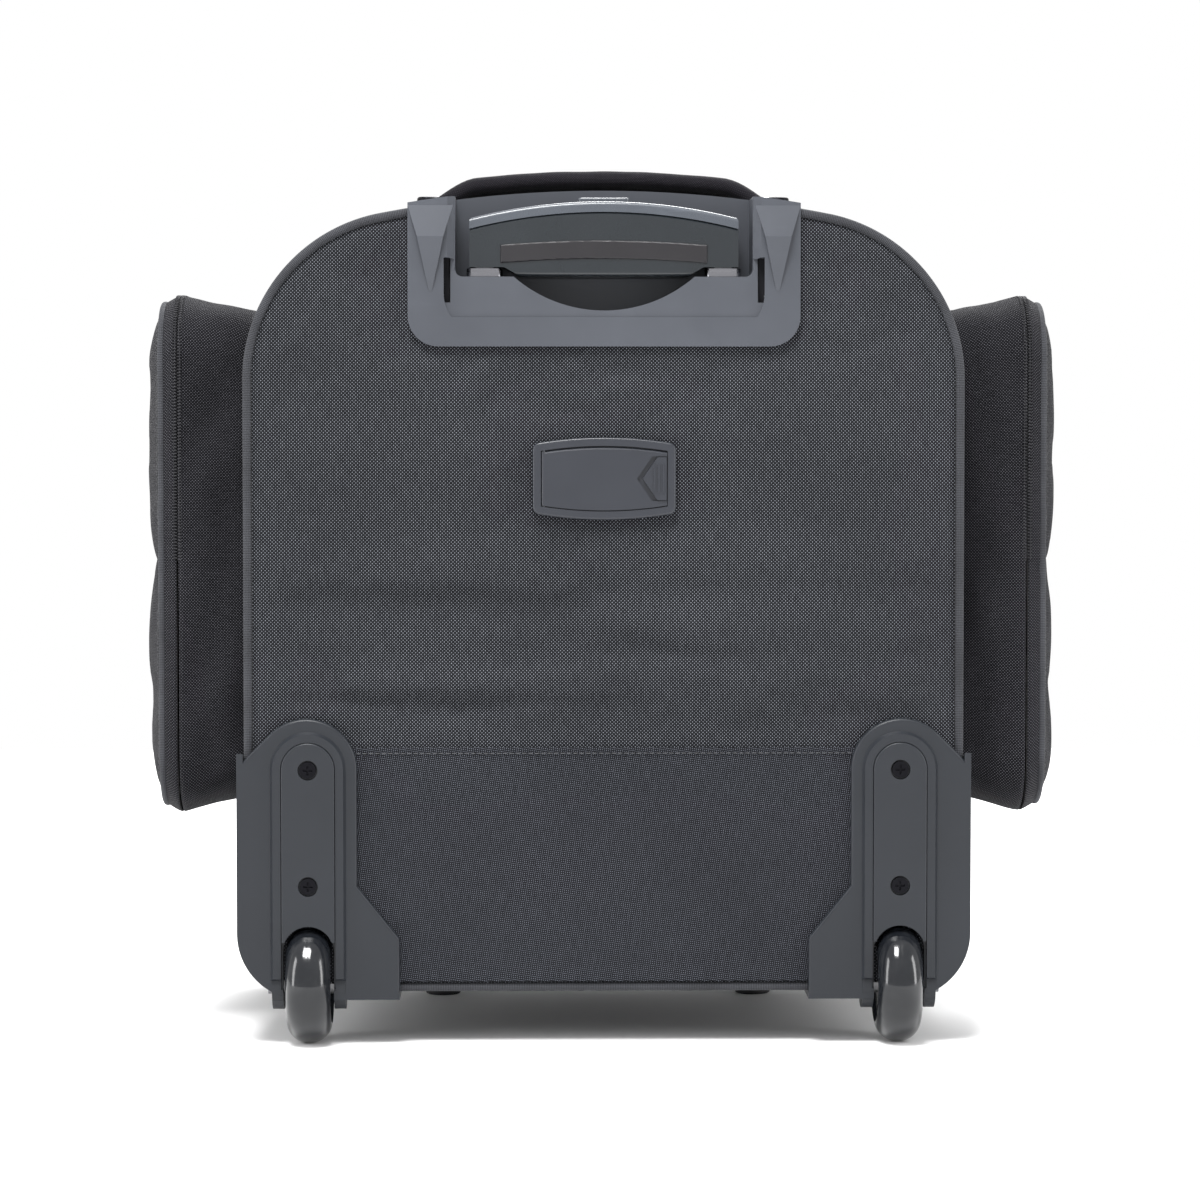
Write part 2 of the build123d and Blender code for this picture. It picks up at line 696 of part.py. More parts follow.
with BuildPart() as axle_washers:
    for side, _ in SIDES:
        for start in (-WELL_HALF, 10):
            span = (side * WHEEL_X + start, side * WHEEL_X + start + WELL_HALF - 10)
            rod_x(span, WHEEL_DEPTH, WHEEL_R, 6)
            rod_x(span, WHEEL_DEPTH, WHEEL_R, AXLE_R, Mode.SUBTRACT)
finish(axle_washers, "axle_washers")

with BuildPart() as axle_bolts:
    outer_end = WHEEL_X + WELL_HALF + CHEEK
    for side, _ in SIDES:
        rod_x(sided(WHEEL_X - WELL_HALF - CHEEK, outer_end, side), WHEEL_DEPTH, WHEEL_R, AXLE_R)
        rod_x(sided(outer_end, outer_end + 2.6, side), WHEEL_DEPTH, WHEEL_R, 6)
        head_centre = (side * (outer_end + 2.6), depth_y(WHEEL_DEPTH), WHEEL_R)
        with BuildSketch(Plane(origin=head_centre, z_dir=(side, 0, 0))):
            Rectangle(6.4, 1.3, rotation=30)
            Rectangle(6.4, 1.3, rotation=120)
        extrude(amount=-1.5, mode=Mode.SUBTRACT)
finish(axle_bolts, "axle_bolts")

# ---------------------------------------------------------------- feet
with BuildPart() as feet:
    for side, _ in SIDES:
        with BuildSketch(Plane.XY):
            with Locations((side * FOOT_X, depth_y(FOOT_DEPTH))):
                Circle(10)
        with BuildSketch(Plane.XY.offset(BODY_LOW)):
            with Locations((side * FOOT_X, depth_y(FOOT_DEPTH))):
                Circle(13.4)
        loft()
    fillet(feet.faces().filter_by(Axis.Z).group_by(Axis.Z)[0].edges(), 1.5)
finish(feet, "feet")

# ---------------------------------------------------------------- top carry handle
PAD_END = 100.0
with BuildPart() as carry_handle:
    with BuildSketch(at_depth(HANDLE_DEPTH - HANDLE_W / 2)):
        with BuildLine():
            grip_arc(0, PAD_END, 448.8, 461.4)
            grip_arc(0, PAD_END, 454.6, 472)
            for side, _ in SIDES:
                Line((side * PAD_END, 448.8), (side * PAD_END, 454.6))
        make_face()
    extrude(amount=HANDLE_W)
    fillet(carry_handle.faces().sort_by(Axis.Z)[-1].edges(), 2.6)
finish(carry_handle, "carry_handle")

# fabric tabs that flare from the handle's ends down over the case
with BuildPart() as handle_tabs:
    case_band(-2.2, 0, HANDLE_DEPTH - 60, 120)
    with BuildSketch(Plane.XY.offset(400)):
        for side, _ in SIDES:
            with BuildLine():
                Polyline(
                    (side * 80, depth_y(HANDLE_DEPTH - 20)),
                    (side * 128, depth_y(HANDLE_DEPTH - 40)),
                    (side * 128, depth_y(HANDLE_DEPTH + 40)),
                    (side * 80, depth_y(HANDLE_DEPTH + 20)),
                    close=True,
                )
            make_face()
    extrude(amount=100, mode=Mode.INTERSECT)
finish(handle_tabs, "handle_tabs")

with BuildPart() as handle_rivets:
    with BuildSketch(Plane.XY.offset(450)):
        with Locations((91, depth_y(HANDLE_DEPTH)), (-91, depth_y(HANDLE_DEPTH))):
            Circle(7)
    extrude(amount=9)
    fillet(handle_rivets.faces().filter_by(Axis.Z).group_by(Axis.Z)[-1].edges(), 1.5)
    add(carry_handle.part, mode=Mode.SUBTRACT)
    slab((-120, 120), (100, 170), (440, 455.4), Mode.SUBTRACT)
finish(handle_rivets, "handle_rivets")

# ---------------------------------------------------------------- identity tag on the back
DOOR_HALF = 33.3
DOOR_HINGE_X = 32.1
DOOR_HINGE_DEPTH = -3.0


def bowed(half_w, half_h, bow):
    """Draws a rectangle whose top and bottom edges bow outwards, around the tag's centre."""
    for up in (1, -1):
        ThreePointArc(
            (-half_w, TAG_Z + up * half_h), (0, TAG_Z + up * (half_h + bow)), (half_w, TAG_Z + up * half_h)
        )
    for side, _ in SIDES:
        Line((side * half_w, TAG_Z - half_h), (side * half_w, TAG_Z + half_h))


def door_rod(radius, half_length, mode=Mode.ADD):
    with Locations((DOOR_HINGE_X, depth_y(DOOR_HINGE_DEPTH), TAG_Z)):
        Cylinder(radius, 2 * half_length, mode=mode)


with BuildPart() as tag_frame:
    with BuildSketch(at_depth(-4)):
        with BuildLine():
            bowed(38, 18.5, 3.4)
        make_face()
    extrude(amount=4)
    fillet(tag_frame.edges().filter_by(Axis.Y), 4)
    fillet(tag_frame.faces().sort_by(Axis.Y)[-1].edges(), 1.2)
    with BuildSketch(at_depth(-5)):
        with BuildLine():
            bowed(DOOR_HALF + 0.35, 14.7, 2.7)
        make_face()
    extrude(amount=4, mode=Mode.SUBTRACT)
    door_rod(0.86, 17, Mode.SUBTRACT)
finish(tag_frame, "tag_frame")

with BuildPart() as tag_card:
    slab((-27, 27), (-1.5, -1.0), (TAG_Z - 13, TAG_Z + 13))
finish(tag_card, "tag_card")


def latch_outline(tip, base, half_h):
    Polyline(
        (-33.0, TAG_Z + half_h),
        (base, TAG_Z + half_h),
        (tip, TAG_Z),
        (base, TAG_Z - half_h),
        (-33.0, TAG_Z - half_h),
        close=True,
    )


with BuildPart() as tag_door:
    with BuildSketch(at_depth(-4.2)):
        with BuildLine():
            bowed(DOOR_HALF, 14.2, 2.6)
        make_face()
        with Locations((DOOR_HALF, TAG_Z)):
            Rectangle(2 * (DOOR_HALF - DOOR_HINGE_X), 60, mode=Mode.SUBTRACT)
    extrude(amount=2.4)
    chamfer(tag_door.faces().sort_by(Axis.Y)[-1].edges().group_by(Axis.Z)[-1], 1.2)
    door_rod(1.2, 14.2)
    door_rod(0.8, 16.4)
    # seat for the latch, long enough for its travel
    with BuildSketch(at_depth(-5)):
        with BuildLine():
            latch_outline(-17.4, -25.4, 11.8)
        make_face()
        with Locations((-34, TAG_Z)):
            Rectangle(3, 23.6)
    extrude(amount=2.2, mode=Mode.SUBTRACT)
finish(tag_door, "tag_door")

with BuildPart() as tag_latch:
    with BuildSketch(at_depth(-4.9)):
        with BuildLine():
            latch_outline(-20.4, -28.2, 11.4)
        make_face()
    extrude(amount=2.0)
    # thumb ridges
    with BuildSketch(at_depth(-5.4)):
        with Locations((-31.4, TAG_Z), (-29.0, TAG_Z), (-26.6, TAG_Z)):
            Rectangle(1.0, 15)
    extrude(amount=0.8)
finish(tag_latch, "tag_latch")

# ---------------------------------------------------------------- main zipper and lid
TEETH_LOW = 46.0  # the zipper stops here; below it the tape alone is the lid's hinge

with BuildPart() as main_zipper_body:
    case_band(-0.7, 0.6, HINGE_DEPTH - 1.9, 1.9 - JOINT_GAP)
    slab((-FAR, FAR), (0, FAR), (TEETH_LOW, FAR), Mode.INTERSECT)
    case_band(0.6, 2.4, GUSSET_END, HINGE_DEPTH - JOINT_GAP - GUSSET_END)
finish(main_zipper_body, "main_zipper_body")

with BuildPart() as main_zipper_lid:
    case_band(-0.7, 0.6, HINGE_DEPTH + JOINT_GAP, 1.9 - JOINT_GAP)
    slab((-FAR, FAR), (0, FAR), (TEETH_LOW, FAR), Mode.INTERSECT)
    case_band(0.6, 2.4, HINGE_DEPTH + JOINT_GAP, LID_START - HINGE_DEPTH - JOINT_GAP)
finish(main_zipper_lid, "main_zipper_lid")

with BuildPart() as lid_gusset:
    case_band(0, SKIN, LID_START, LID_FACE - LID_START)
finish(lid_gusset, "lid_gusset")

with BuildPart() as lid_panel:
    fill_case(LID_FACE - 3, 3, SKIN + 0.1)
finish(lid_panel, "lid_panel")

with BuildPart() as lid_piping:
    case_band(-1, 3, LID_FACE, 3.5)
    fillet(lid_piping.edges().filter_by(Plane.XZ), 1.5)
finish(lid_piping, "lid_piping")

# ---------------------------------------------------------------- front pocket
BASE_LINE = {"inset": 4.0, "drop": 18.0, "lift": 4.0}
RIM_LINE = {"inset": 12.0, "drop": 38.0, "lift": 10.0}
FACE_LINE = {"inset": 36.0, "drop": 66.0, "lift": 26.0}


def pocket_loft(near, near_line, far, far_line, wall=0.0, mode=Mode.ADD):
    """The bulge of the front pocket between two depths; wall insets both of its lines."""
    near_line = {**near_line, "inset": near_line["inset"] + wall}
    far_line = {**far_line, "inset": far_line["inset"] + wall}
    loft([case_face(near, **near_line).face(), case_face(far, **far_line).face()], mode=mode)


with BuildPart() as front_pocket_gusset:
    pocket_loft(LID_FACE, BASE_LINE, POCKET_RIM, RIM_LINE)
    pocket_loft(LID_FACE, BASE_LINE, POCKET_RIM, RIM_LINE, 2.5, Mode.SUBTRACT)
finish(front_pocket_gusset, "front_pocket_gusset")

with BuildPart() as front_pocket_face:
    near_depth = POCKET_RIM + 2 * JOINT_GAP
    pocket_loft(near_depth, RIM_LINE, FRONT_FACE, FACE_LINE)
    pocket_loft(near_depth, RIM_LINE, FRONT_FACE - 3, FACE_LINE, 4.0, Mode.SUBTRACT)
finish(front_pocket_face, "front_pocket_face")


# ---------------------------------------------------------------- side pockets
def pocket_prism(side, low, high, inset=0.0, mode=Mode.ADD):
    """A side pocket's outline, extruded along X."""
    with BuildSketch(Plane.YZ.offset(side * low)) as outline:
        with Locations((depth_y(POCKET_DEPTH), POCKET_Z)):
            RectangleRounded(POCKET_W - 2 * inset, POCKET_H - 2 * inset, POCKET_CORNER - inset)
    extrude(outline.sketch, amount=side * (high - low), mode=mode)


with BuildPart() as side_pocket_walls:
    for side, _ in SIDES:
        pocket_prism(side, 165, POCKET_SEAM_X)
    fill_case(-1, 240, 0, Mode.SUBTRACT)
    for side, _ in SIDES:
        pocket_prism(side, 150, 240, POCKET_WALL, Mode.SUBTRACT)
finish(side_pocket_walls, "side_pocket_walls")

# dished outer panels; each is cut at the fold into a fixed lower half and a flap
with BuildPart() as dishes:
    for side, _ in SIDES:
        pocket_prism(side, POCKET_SEAM_X, POCKET_FACE_X)
    for outer in (dishes.faces().sort_by(Axis.X)[0], dishes.faces().sort_by(Axis.X)[-1]):
        fillet(outer.edges(), 9)
    for side, _ in SIDES:
        pocket_prism(side, 200, POCKET_FACE_X - 3, POCKET_WALL + 0.5, Mode.SUBTRACT)

with BuildPart() as side_pocket_lowers:
    add(dishes.part)
    slab((-FAR, FAR), (0, FAR), (0, POCKET_FOLD_Z - JOINT_GAP), Mode.INTERSECT)
finish(side_pocket_lowers, "side_pocket_lowers")

for side, name in SIDES:
    with BuildPart() as side_pocket_flap:
        add(dishes.part)
        reach = sided(POCKET_SEAM_X + 2 * JOINT_GAP, FAR, side)
        slab(reach, (0, FAR), (POCKET_FOLD_Z + JOINT_GAP, FAR), Mode.INTERSECT)
    finish(side_pocket_flap, f"side_pocket_flap_{name}")


# ---------------------------------------------------------------- zipper sliders and pulls
# Each eye plane has its origin at the eye's centre, its X along the pin, its Y the way the pull lies
# and its Z away from the fabric.
EYE_UP = 3.8
PIN_R = 0.8


def pin_plane(eye):
    return Plane(origin=eye.origin, x_dir=eye.y_dir, z_dir=eye.x_dir)


def zip_slider(eye):
    with BuildSketch(eye.offset(-3.4)) as foot:
        with Locations((0, 1)):
            RectangleRounded(8, 10, 2.2)
    extrude(foot.sketch, amount=1.7)
    with BuildSketch(eye.offset(-1.7)) as lugs:
        with Locations((3, 0), (-3, 0)):
            Rectangle(1.4, 3.6)
    extrude(lugs.sketch, amount=3.0)
    with BuildSketch(pin_plane(eye).offset(-3)) as pin:
        Circle(PIN_R)
    extrude(pin.sketch, amount=6)


def zip_pull(eye, length):
    with BuildSketch(pin_plane(eye).offset(-2)) as barrel:
        Circle(1.35)
    extrude(barrel.sketch, amount=4)
    with BuildSketch(eye.offset(-0.7)) as blade:
        with Locations((0, length / 2 + 0.4)):
            RectangleRounded(4.0, length - 0.8, 1.9)
    extrude(blade.sketch, amount=1.4)
    with BuildSketch(pin_plane(eye).offset(-4)) as hole:
        Circle(PIN_R + 0.08)
    extrude(hole.sketch, amount=8, mode=Mode.SUBTRACT)


main_eyes = []
side_eyes = []
for side, _ in SIDES:
    main_eye = (side * 9, depth_y(HINGE_DEPTH), BODY_TOP + 0.7 + EYE_UP)
    main_eyes.append(Plane(origin=main_eye, x_dir=(1, 0, 0)))
    side_eye = (side * POCKET_SEAM_X, depth_y(POCKET_DEPTH + POCKET_W / 2 + EYE_UP), 262)
    side_eyes.append(Plane(origin=side_eye, x_dir=(-1, 0, 0), z_dir=(0, -1, 0)))
FACE_LEAN = 15 * pi / 180
front_eye = Plane(
    origin=(0, depth_y(POCKET_RIM + EYE_UP + 0.5), BODY_TOP - RIM_LINE["inset"] - RIM_LINE["drop"] + 1.5),
    x_dir=(-1, 0, 0),
    z_dir=(0, -cos(FACE_LEAN), sin(FACE_LEAN)),
)

with BuildPart() as zipper_sliders:
    for eye in main_eyes + side_eyes:
        zip_slider(eye)
finish(zipper_sliders, "zipper_sliders")

with BuildPart() as front_slider:
    zip_slider(front_eye)
finish(front_slider, "front_slider")

for index, (_, name) in enumerate(SIDES):
    with BuildPart() as main_pull:
        zip_pull(main_eyes[index], 30)
    finish(main_pull, f"main_pull_{name}")
    with BuildPart() as side_pull:
        zip_pull(side_eyes[index], 32)
    finish(side_pull, f"side_pull_{name}")

with BuildPart() as front_pull:
    zip_pull(front_eye, 30)
finish(front_pull, "front_pull")
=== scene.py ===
"""Looks of the rolling flight case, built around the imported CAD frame. Metres, the frame's axes:
+Z up, the back with the trolley and the wheels faces +Y, left is +X.
A "depth" is a distance from the outer face of the back panel towards the front."""

import math

import bmesh
import bpy
import numpy as np
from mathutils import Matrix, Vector, noise
from mathutils.kdtree import KDTree


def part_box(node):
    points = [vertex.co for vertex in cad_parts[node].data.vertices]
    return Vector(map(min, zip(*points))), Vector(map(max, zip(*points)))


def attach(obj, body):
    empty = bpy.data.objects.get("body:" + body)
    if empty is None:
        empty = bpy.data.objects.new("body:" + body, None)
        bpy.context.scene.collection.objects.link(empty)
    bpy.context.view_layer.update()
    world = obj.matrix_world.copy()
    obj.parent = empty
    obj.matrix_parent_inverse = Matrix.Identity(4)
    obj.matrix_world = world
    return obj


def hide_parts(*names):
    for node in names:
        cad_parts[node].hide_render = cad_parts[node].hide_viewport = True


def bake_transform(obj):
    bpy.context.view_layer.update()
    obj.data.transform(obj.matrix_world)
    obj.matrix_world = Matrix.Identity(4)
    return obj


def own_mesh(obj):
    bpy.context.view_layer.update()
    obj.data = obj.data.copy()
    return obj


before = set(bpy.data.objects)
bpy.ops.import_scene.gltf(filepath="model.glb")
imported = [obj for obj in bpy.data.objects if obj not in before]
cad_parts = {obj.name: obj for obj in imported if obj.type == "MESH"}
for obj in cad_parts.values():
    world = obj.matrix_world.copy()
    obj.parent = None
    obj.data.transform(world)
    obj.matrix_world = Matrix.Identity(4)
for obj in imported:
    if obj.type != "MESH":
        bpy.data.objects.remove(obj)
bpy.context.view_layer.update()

MM = 0.001

# ---- sizes read from the frame
SHELL_LOW, SHELL_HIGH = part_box("main_gusset")
BACK_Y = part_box("back_piping")[1].y
HALF_W = SHELL_HIGH.x
LOW_Z = SHELL_LOW.z
TOP_Z = SHELL_HIGH.z
LID_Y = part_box("lid_panel")[0].y
PLATE_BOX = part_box("trolley_housing")
KICK_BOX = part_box("kick_panel")
PAD_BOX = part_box("carry_handle")
FLAP_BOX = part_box("side_pocket_flap_left")
LOWER_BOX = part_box("side_pocket_lowers")

# sizes that shape the case's outline
ARCH_R = 629 * MM
SHOULDER_R = 90 * MM
CORNER_R = 32 * MM
MIN_CORNER_R = 8 * MM
PIPING_R = 2.4 * MM
HINGE_DEPTH = 214 * MM
LID_DEPTH = BACK_Y - LID_Y
TEETH_LOW = 44 * MM  # the main zipper's teeth stop at this height
SIDES = ((1, "left"), (-1, "right"))
RING_COUNTS = (32, 12, 64, 28, 24)  # points on half the outline: bottom, corner, side, shoulder, arch
SHOULDER_TURN = 18  # the point along the shoulder where the outline is taken to turn its upper corner


def depth_y(depth):
    return BACK_Y - depth


# ---- outlines
def arc(centre, radius, start, end, count):
    """Points of an arc in degrees, without its last point."""
    angles = np.radians(np.linspace(start, end, count, endpoint=False))
    return np.column_stack([centre[0] + radius * np.cos(angles), centre[1] + radius * np.sin(angles)])


def run(start, end, count):
    """Points of a straight run, without its last point."""
    share = np.linspace(0, 1, count, endpoint=False)[:, None]
    return np.array(start) + share * (np.array(end) - np.array(start))


def case_ring(inset=0.0, drop=0.0, lift=0.0, fine=1):
    """The case's outline as (x, z) rows, a closed loop from the middle of the bottom towards +X. Every
    call with the same fine gives points that match those of the other insets."""
    half = HALF_W - inset
    low = LOW_Z + inset + lift
    corner_r = max(CORNER_R - inset, MIN_CORNER_R)
    lean = math.degrees(math.asin((HALF_W - SHOULDER_R) / (ARCH_R - SHOULDER_R)))
    arch_z = TOP_Z - ARCH_R - drop
    shoulder_z = arch_z + (ARCH_R - SHOULDER_R) * math.cos(math.radians(lean))
    bottom, corner, side, shoulder, arch = (count * fine for count in RING_COUNTS)
    right = np.vstack([
        run((0, low), (half - corner_r, low), bottom),
        arc((half - corner_r, low + corner_r), corner_r, -90, 0, corner),
        run((half, low + corner_r), (half, shoulder_z), side),
        arc((HALF_W - SHOULDER_R, shoulder_z), SHOULDER_R - inset, 0, 90 - lean, shoulder),
        arc((0, arch_z), ARCH_R - inset, 90 - lean, 90, arch),
        [(0, arch_z + ARCH_R - inset)],
    ])
    return mirrored(right)


def mirrored(half):
    """A closed loop from its +X half, whose first and last points are on the middle line."""
    return np.vstack([half, half[1:-1][::-1] * (-1, 1)])


def ring_corners():
    """Indices of the outline's four turning points: low right, high right, high left, low left."""
    bottom, corner, side, *_ = RING_COUNTS
    low_right = bottom + corner // 2
    high_right = bottom + corner + side + SHOULDER_TURN
    total = 2 * sum(RING_COUNTS)
    return low_right, high_right, total - high_right, total - low_right


def outward(ring):
    """Unit normals of a closed loop in its own plane, one for each point."""
    ahead = np.roll(ring, -1, 0) - np.roll(ring, 1, 0)
    ahead /= np.linalg.norm(ahead, axis=1)[:, None]
    return np.column_stack([ahead[:, 1], -ahead[:, 0]])


def rim_distance(ring, flat):
    """Distance of each point of a flat grid to the nearest point of a ring in the same plane."""
    rim = KDTree(len(ring))
    for i, (a, b) in enumerate(ring):
        rim.insert((a, b, 0), i)
    rim.balance()
    return np.array([rim.find((a, b, 0))[2] for a, b in flat.reshape(-1, 2)]).reshape(flat.shape[:-1])


def travelled(line):
    """Distance of each point of a line from its start."""
    return np.concatenate([[0], np.cumsum(np.linalg.norm(np.diff(line, axis=0), axis=1))])


def stood(flat, y):
    """The 3-D points of flat (x, z) ones, at one y or at a y for each."""
    return np.stack([flat[..., 0], np.broadcast_to(y, flat.shape[:-1]), flat[..., 1]], -1)


def repeated(direction, count):
    return np.tile(np.array(direction, float), (count, 1))


def smoothstep(low, high, value):
    share = np.clip((value - low) / (high - low), 0, 1)
    return share * share * (3 - 2 * share)


def through(points, at):
    """A smooth curve through (position, value) pairs, read at the given positions."""
    xs, ys = np.array(points, float).T
    slopes = np.gradient(ys, xs)
    at = np.clip(at, xs[0], xs[-1])
    i = np.clip(np.searchsorted(xs, at) - 1, 0, len(xs) - 2)
    width = xs[i + 1] - xs[i]
    t = (at - xs[i]) / width
    return (
        (2 * t**3 - 3 * t**2 + 1) * ys[i]
        + (t**3 - 2 * t**2 + t) * width * slopes[i]
        + (3 * t**2 - 2 * t**3) * ys[i + 1]
        + (t**3 - t**2) * width * slopes[i + 1]
    )


def bumps(points, size, seed, stretch=(1, 1, 1)):
    """Smooth noise from -1 to 1 at each point; size is about the width of one bump."""
    scale = np.array(stretch, float) * size
    flat = np.asarray(points, float).reshape(-1, 3) / scale + seed * 7.3
    values = np.array([noise.noise(Vector(p)) for p in flat])
    return values.reshape(np.asarray(points).shape[:-1])


# ---- meshes
def new_object(name, vertices, faces, uvs=None):
    mesh = bpy.data.meshes.new(name)
    mesh.from_pydata([tuple(v) for v in vertices], [], [tuple(f) for f in faces])
    if uvs is not None:
        layer = mesh.uv_layers.new(name="UVMap")
        layer.data.foreach_set("uv", np.asarray(uvs, np.float32).ravel())
    mesh.polygons.foreach_set("use_smooth", [True] * len(mesh.polygons))
    mesh.validate()
    mesh.update()
    piece = bpy.data.objects.new(name, mesh)
    bpy.context.scene.collection.objects.link(piece)
    return piece


def grid(name, points, closed=False, keep=None, flip=False, plane=None):
    """A sheet through rows of points. closed joins the ends of each row; keep is a test of a face's
    centre. Its UVs are in metres: lengths along and across the rows, or the two axes that plane names."""
    rows, columns = points.shape[:2]
    wrapped = np.concatenate([points, points[:, :1]], 1) if closed else points
    along = np.linalg.norm(np.diff(wrapped, axis=1), axis=2).mean(0)
    across = np.linalg.norm(np.diff(points, axis=0), axis=2).mean(1)
    u = np.concatenate([[0], np.cumsum(along)])
    v = np.concatenate([[0], np.cumsum(across)])
    faces, uvs = [], []
    for j in range(rows - 1):
        for i in range(wrapped.shape[1] - 1):
            if keep and not keep((wrapped[j, i] + wrapped[j + 1, i + 1]) / 2):
                continue
            k = (i + 1) % columns
            face = [j * columns + i, j * columns + k, (j + 1) * columns + k, (j + 1) * columns + i]
            corner = [(u[i], v[j]), (u[i + 1], v[j]), (u[i + 1], v[j + 1]), (u[i], v[j + 1])]
            if plane:
                corner = points.reshape(-1, 3)[face][:, plane]
            faces.append(face[::-1] if flip else face)
            uvs.extend(corner[::-1] if flip else corner)
    piece = new_object(name, points.reshape(-1, 3), faces, uvs)
    drop_loose(piece)
    return piece


def drop_loose(piece):
    """Deletes points that no face uses."""
    mesh = piece.data
    used = np.zeros(len(mesh.vertices), bool)
    for polygon in mesh.polygons:
        used[list(polygon.vertices)] = True
    if used.all():
        return
    work = bmesh.new()
    work.from_mesh(mesh)
    work.verts.ensure_lookup_table()
    bmesh.ops.delete(work, geom=[work.verts[i] for i in np.flatnonzero(~used)], context="VERTS")
    work.to_mesh(mesh)
    work.free()


def coons(bottom, right, top, left):
    """A grid inside four edges; bottom and top run the same way, and so do left and right."""
    u = np.linspace(0, 1, len(bottom))[None, :, None]
    v = np.linspace(0, 1, len(left))[:, None, None]
    ruled_v = (1 - v) * bottom[None] + v * top[None]
    ruled_u = (1 - u) * left[:, None] + u * right[:, None]
    corners = (
        (1 - u) * (1 - v) * bottom[0] + u * (1 - v) * bottom[-1] + (1 - u) * v * top[0] + u * v * top[-1]
    )
    return ruled_v + ruled_u - corners


def resampled(line, count):
    """Points at even distances along a line."""
    along = travelled(line)
    at = np.linspace(0, along[-1], count)
    return np.stack([np.interp(at, along, line[:, k]) for k in range(line.shape[1])], 1)


def patch(ring, corners, across, up):
    """A grid that fills a closed ring, from the indices of its four turning points."""
    a, b, c, d = corners
    bottom = np.vstack([ring[d:], ring[: a + 1]])
    return coons(
        resampled(bottom, across),
        resampled(ring[a : b + 1], up),
        resampled(ring[b : c + 1][::-1], across),
        resampled(ring[c : d + 1][::-1], up),
    )


def frames_along(line, normals, closed):
    """Unit tangents, and the normals and sideways directions square to them."""
    ahead = np.roll(line, -1, 0) - np.roll(line, 1, 0)
    if not closed:
        ahead[0], ahead[-1] = line[1] - line[0], line[-1] - line[-2]
    tangents = ahead / np.linalg.norm(ahead, axis=1)[:, None]
    out = normals - (normals * tangents).sum(1)[:, None] * tangents
    out /= np.linalg.norm(out, axis=1)[:, None]
    return tangents, out, np.cross(tangents, out)


def swept(name, line, normals, profile, closed=False):
    """A closed profile of (sideways, outward) points moved along a line."""
    _, out, side = frames_along(line, normals, closed)
    rows = line[:, None] + side[:, None] * profile[None, :, :1] + out[:, None] * profile[None, :, 1:]
    if closed:
        rows = np.concatenate([rows, rows[:1]])
    return grid(name, rows, closed=True)


def circle(radius, count=12):
    angles = np.linspace(0, 2 * math.pi, count, endpoint=False)
    return np.column_stack([np.cos(angles), np.sin(angles)]) * radius


def scattered(name, centres, axes, template, faces):
    """Copies of a small shape; axes holds each copy's three directions."""
    points = centres[:, None] + np.einsum("vk,nkj->nvj", template, axes)
    count = len(template)
    all_faces = [[i + n * count for i in face] for n in range(len(centres)) for face in faces]
    return new_object(name, points.reshape(-1, 3), all_faces)


def joined(name, pieces):
    """Several new pieces as one mesh; each keeps its own material."""
    bpy.ops.object.select_all(action="DESELECT")
    for piece in pieces:
        piece.select_set(True)
    bpy.context.view_layer.objects.active = pieces[0]
    bpy.ops.object.join()
    pieces[0].name = name
    pieces[0].data.name = name
    return pieces[0]


def thicken(piece, thickness):
    """Gives a sheet its cloth's thickness, behind its outer face."""
    modifier = piece.modifiers.new("thickness", "SOLIDIFY")
    modifier.thickness = thickness
    modifier.offset = -1.0


def placed(piece, body, slot, *replaced, look=None):
    """Gives a new piece its finish, hangs it on a body and hides the CAD nodes that it stands for."""
    if look:
        piece.data.materials.append(LOOKS[look])
    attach(piece, body)
    if replaced:
        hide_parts(*replaced)


# ---- materials
class Look:
    """One node material, with short calls for its nodes."""

    def __init__(self, name):
        self.material = bpy.data.materials.new(name)
        self.material.use_nodes = True
        self.nodes = self.material.node_tree.nodes
        self.links = self.material.node_tree.links
        self.shader = self.nodes["Principled BSDF"]
        place = self.nodes.new("ShaderNodeTexCoord")
        self.uv = place.outputs["UV"]
        self.solid = place.outputs["Object"]

    def feed(self, socket, value):
        if isinstance(value, bpy.types.NodeSocket):
            self.links.new(value, socket)
        else:
            socket.default_value = value

    def node(self, kind, inputs, **settings):
        """A new node with its settings; inputs holds a link or a value for each socket."""
        step = self.nodes.new("ShaderNode" + kind)
        for key, value in settings.items():
            setattr(step, key, value)
        for socket, value in inputs.items():
            self.feed(step.inputs[socket], value)
        return step.outputs

    def math(self, operation, a, b=0.0):
        return self.node("Math", {0: a, 1: b}, operation=operation)[0]

    def add(self, a, b):
        return self.math("ADD", a, b)

    def times(self, a, b):
        return self.math("MULTIPLY", a, b)

    def ridges(self, value, rate):
        """Round ridges from 0 to 1, one for each half turn of value times rate."""
        return self.math("ABSOLUTE", self.math("SINE", self.times(value, rate)))

    def mix(self, share, low, high):
        return self.node("Mix", {0: share, 6: low, 7: high}, data_type="RGBA")[2]

    def span(self, value, low, high, to_low=0.0, to_high=1.0):
        return self.node("MapRange", dict(enumerate((value, low, high, to_low, to_high))))[0]

    def stretch(self, place, scale, turn=0.0):
        return self.node("Mapping", {"Vector": place, "Scale": scale, "Rotation": (0, 0, turn)})[0]

    def noise(self, place, scale, detail=2.0, roughness=0.5):
        inputs = {"Vector": place, "Scale": scale, "Detail": detail, "Roughness": roughness}
        return self.node("TexNoise", inputs)[0]

    def split(self, place):
        return self.node("SeparateXYZ", {0: place})

    def bump(self, height, distance):
        return self.node("Bump", {"Height": height, "Distance": distance, "Strength": 1.0})[0]

    def set(self, **sockets):
        names = {"color": "Base Color", "sheen": "Sheen Weight", "coat": "Coat Weight",
                 "specular": "Specular IOR Level"}
        for key, value in sockets.items():
            self.feed(self.shader.inputs[names.get(key, key.replace("_", " ").title())], value)
        return self.material


def rgb(r, g, b):
    return (r, g, b, 1.0)


def shade(color, factor):
    """A colour made lighter or darker."""
    return rgb(*(c * factor for c in color[:3]))


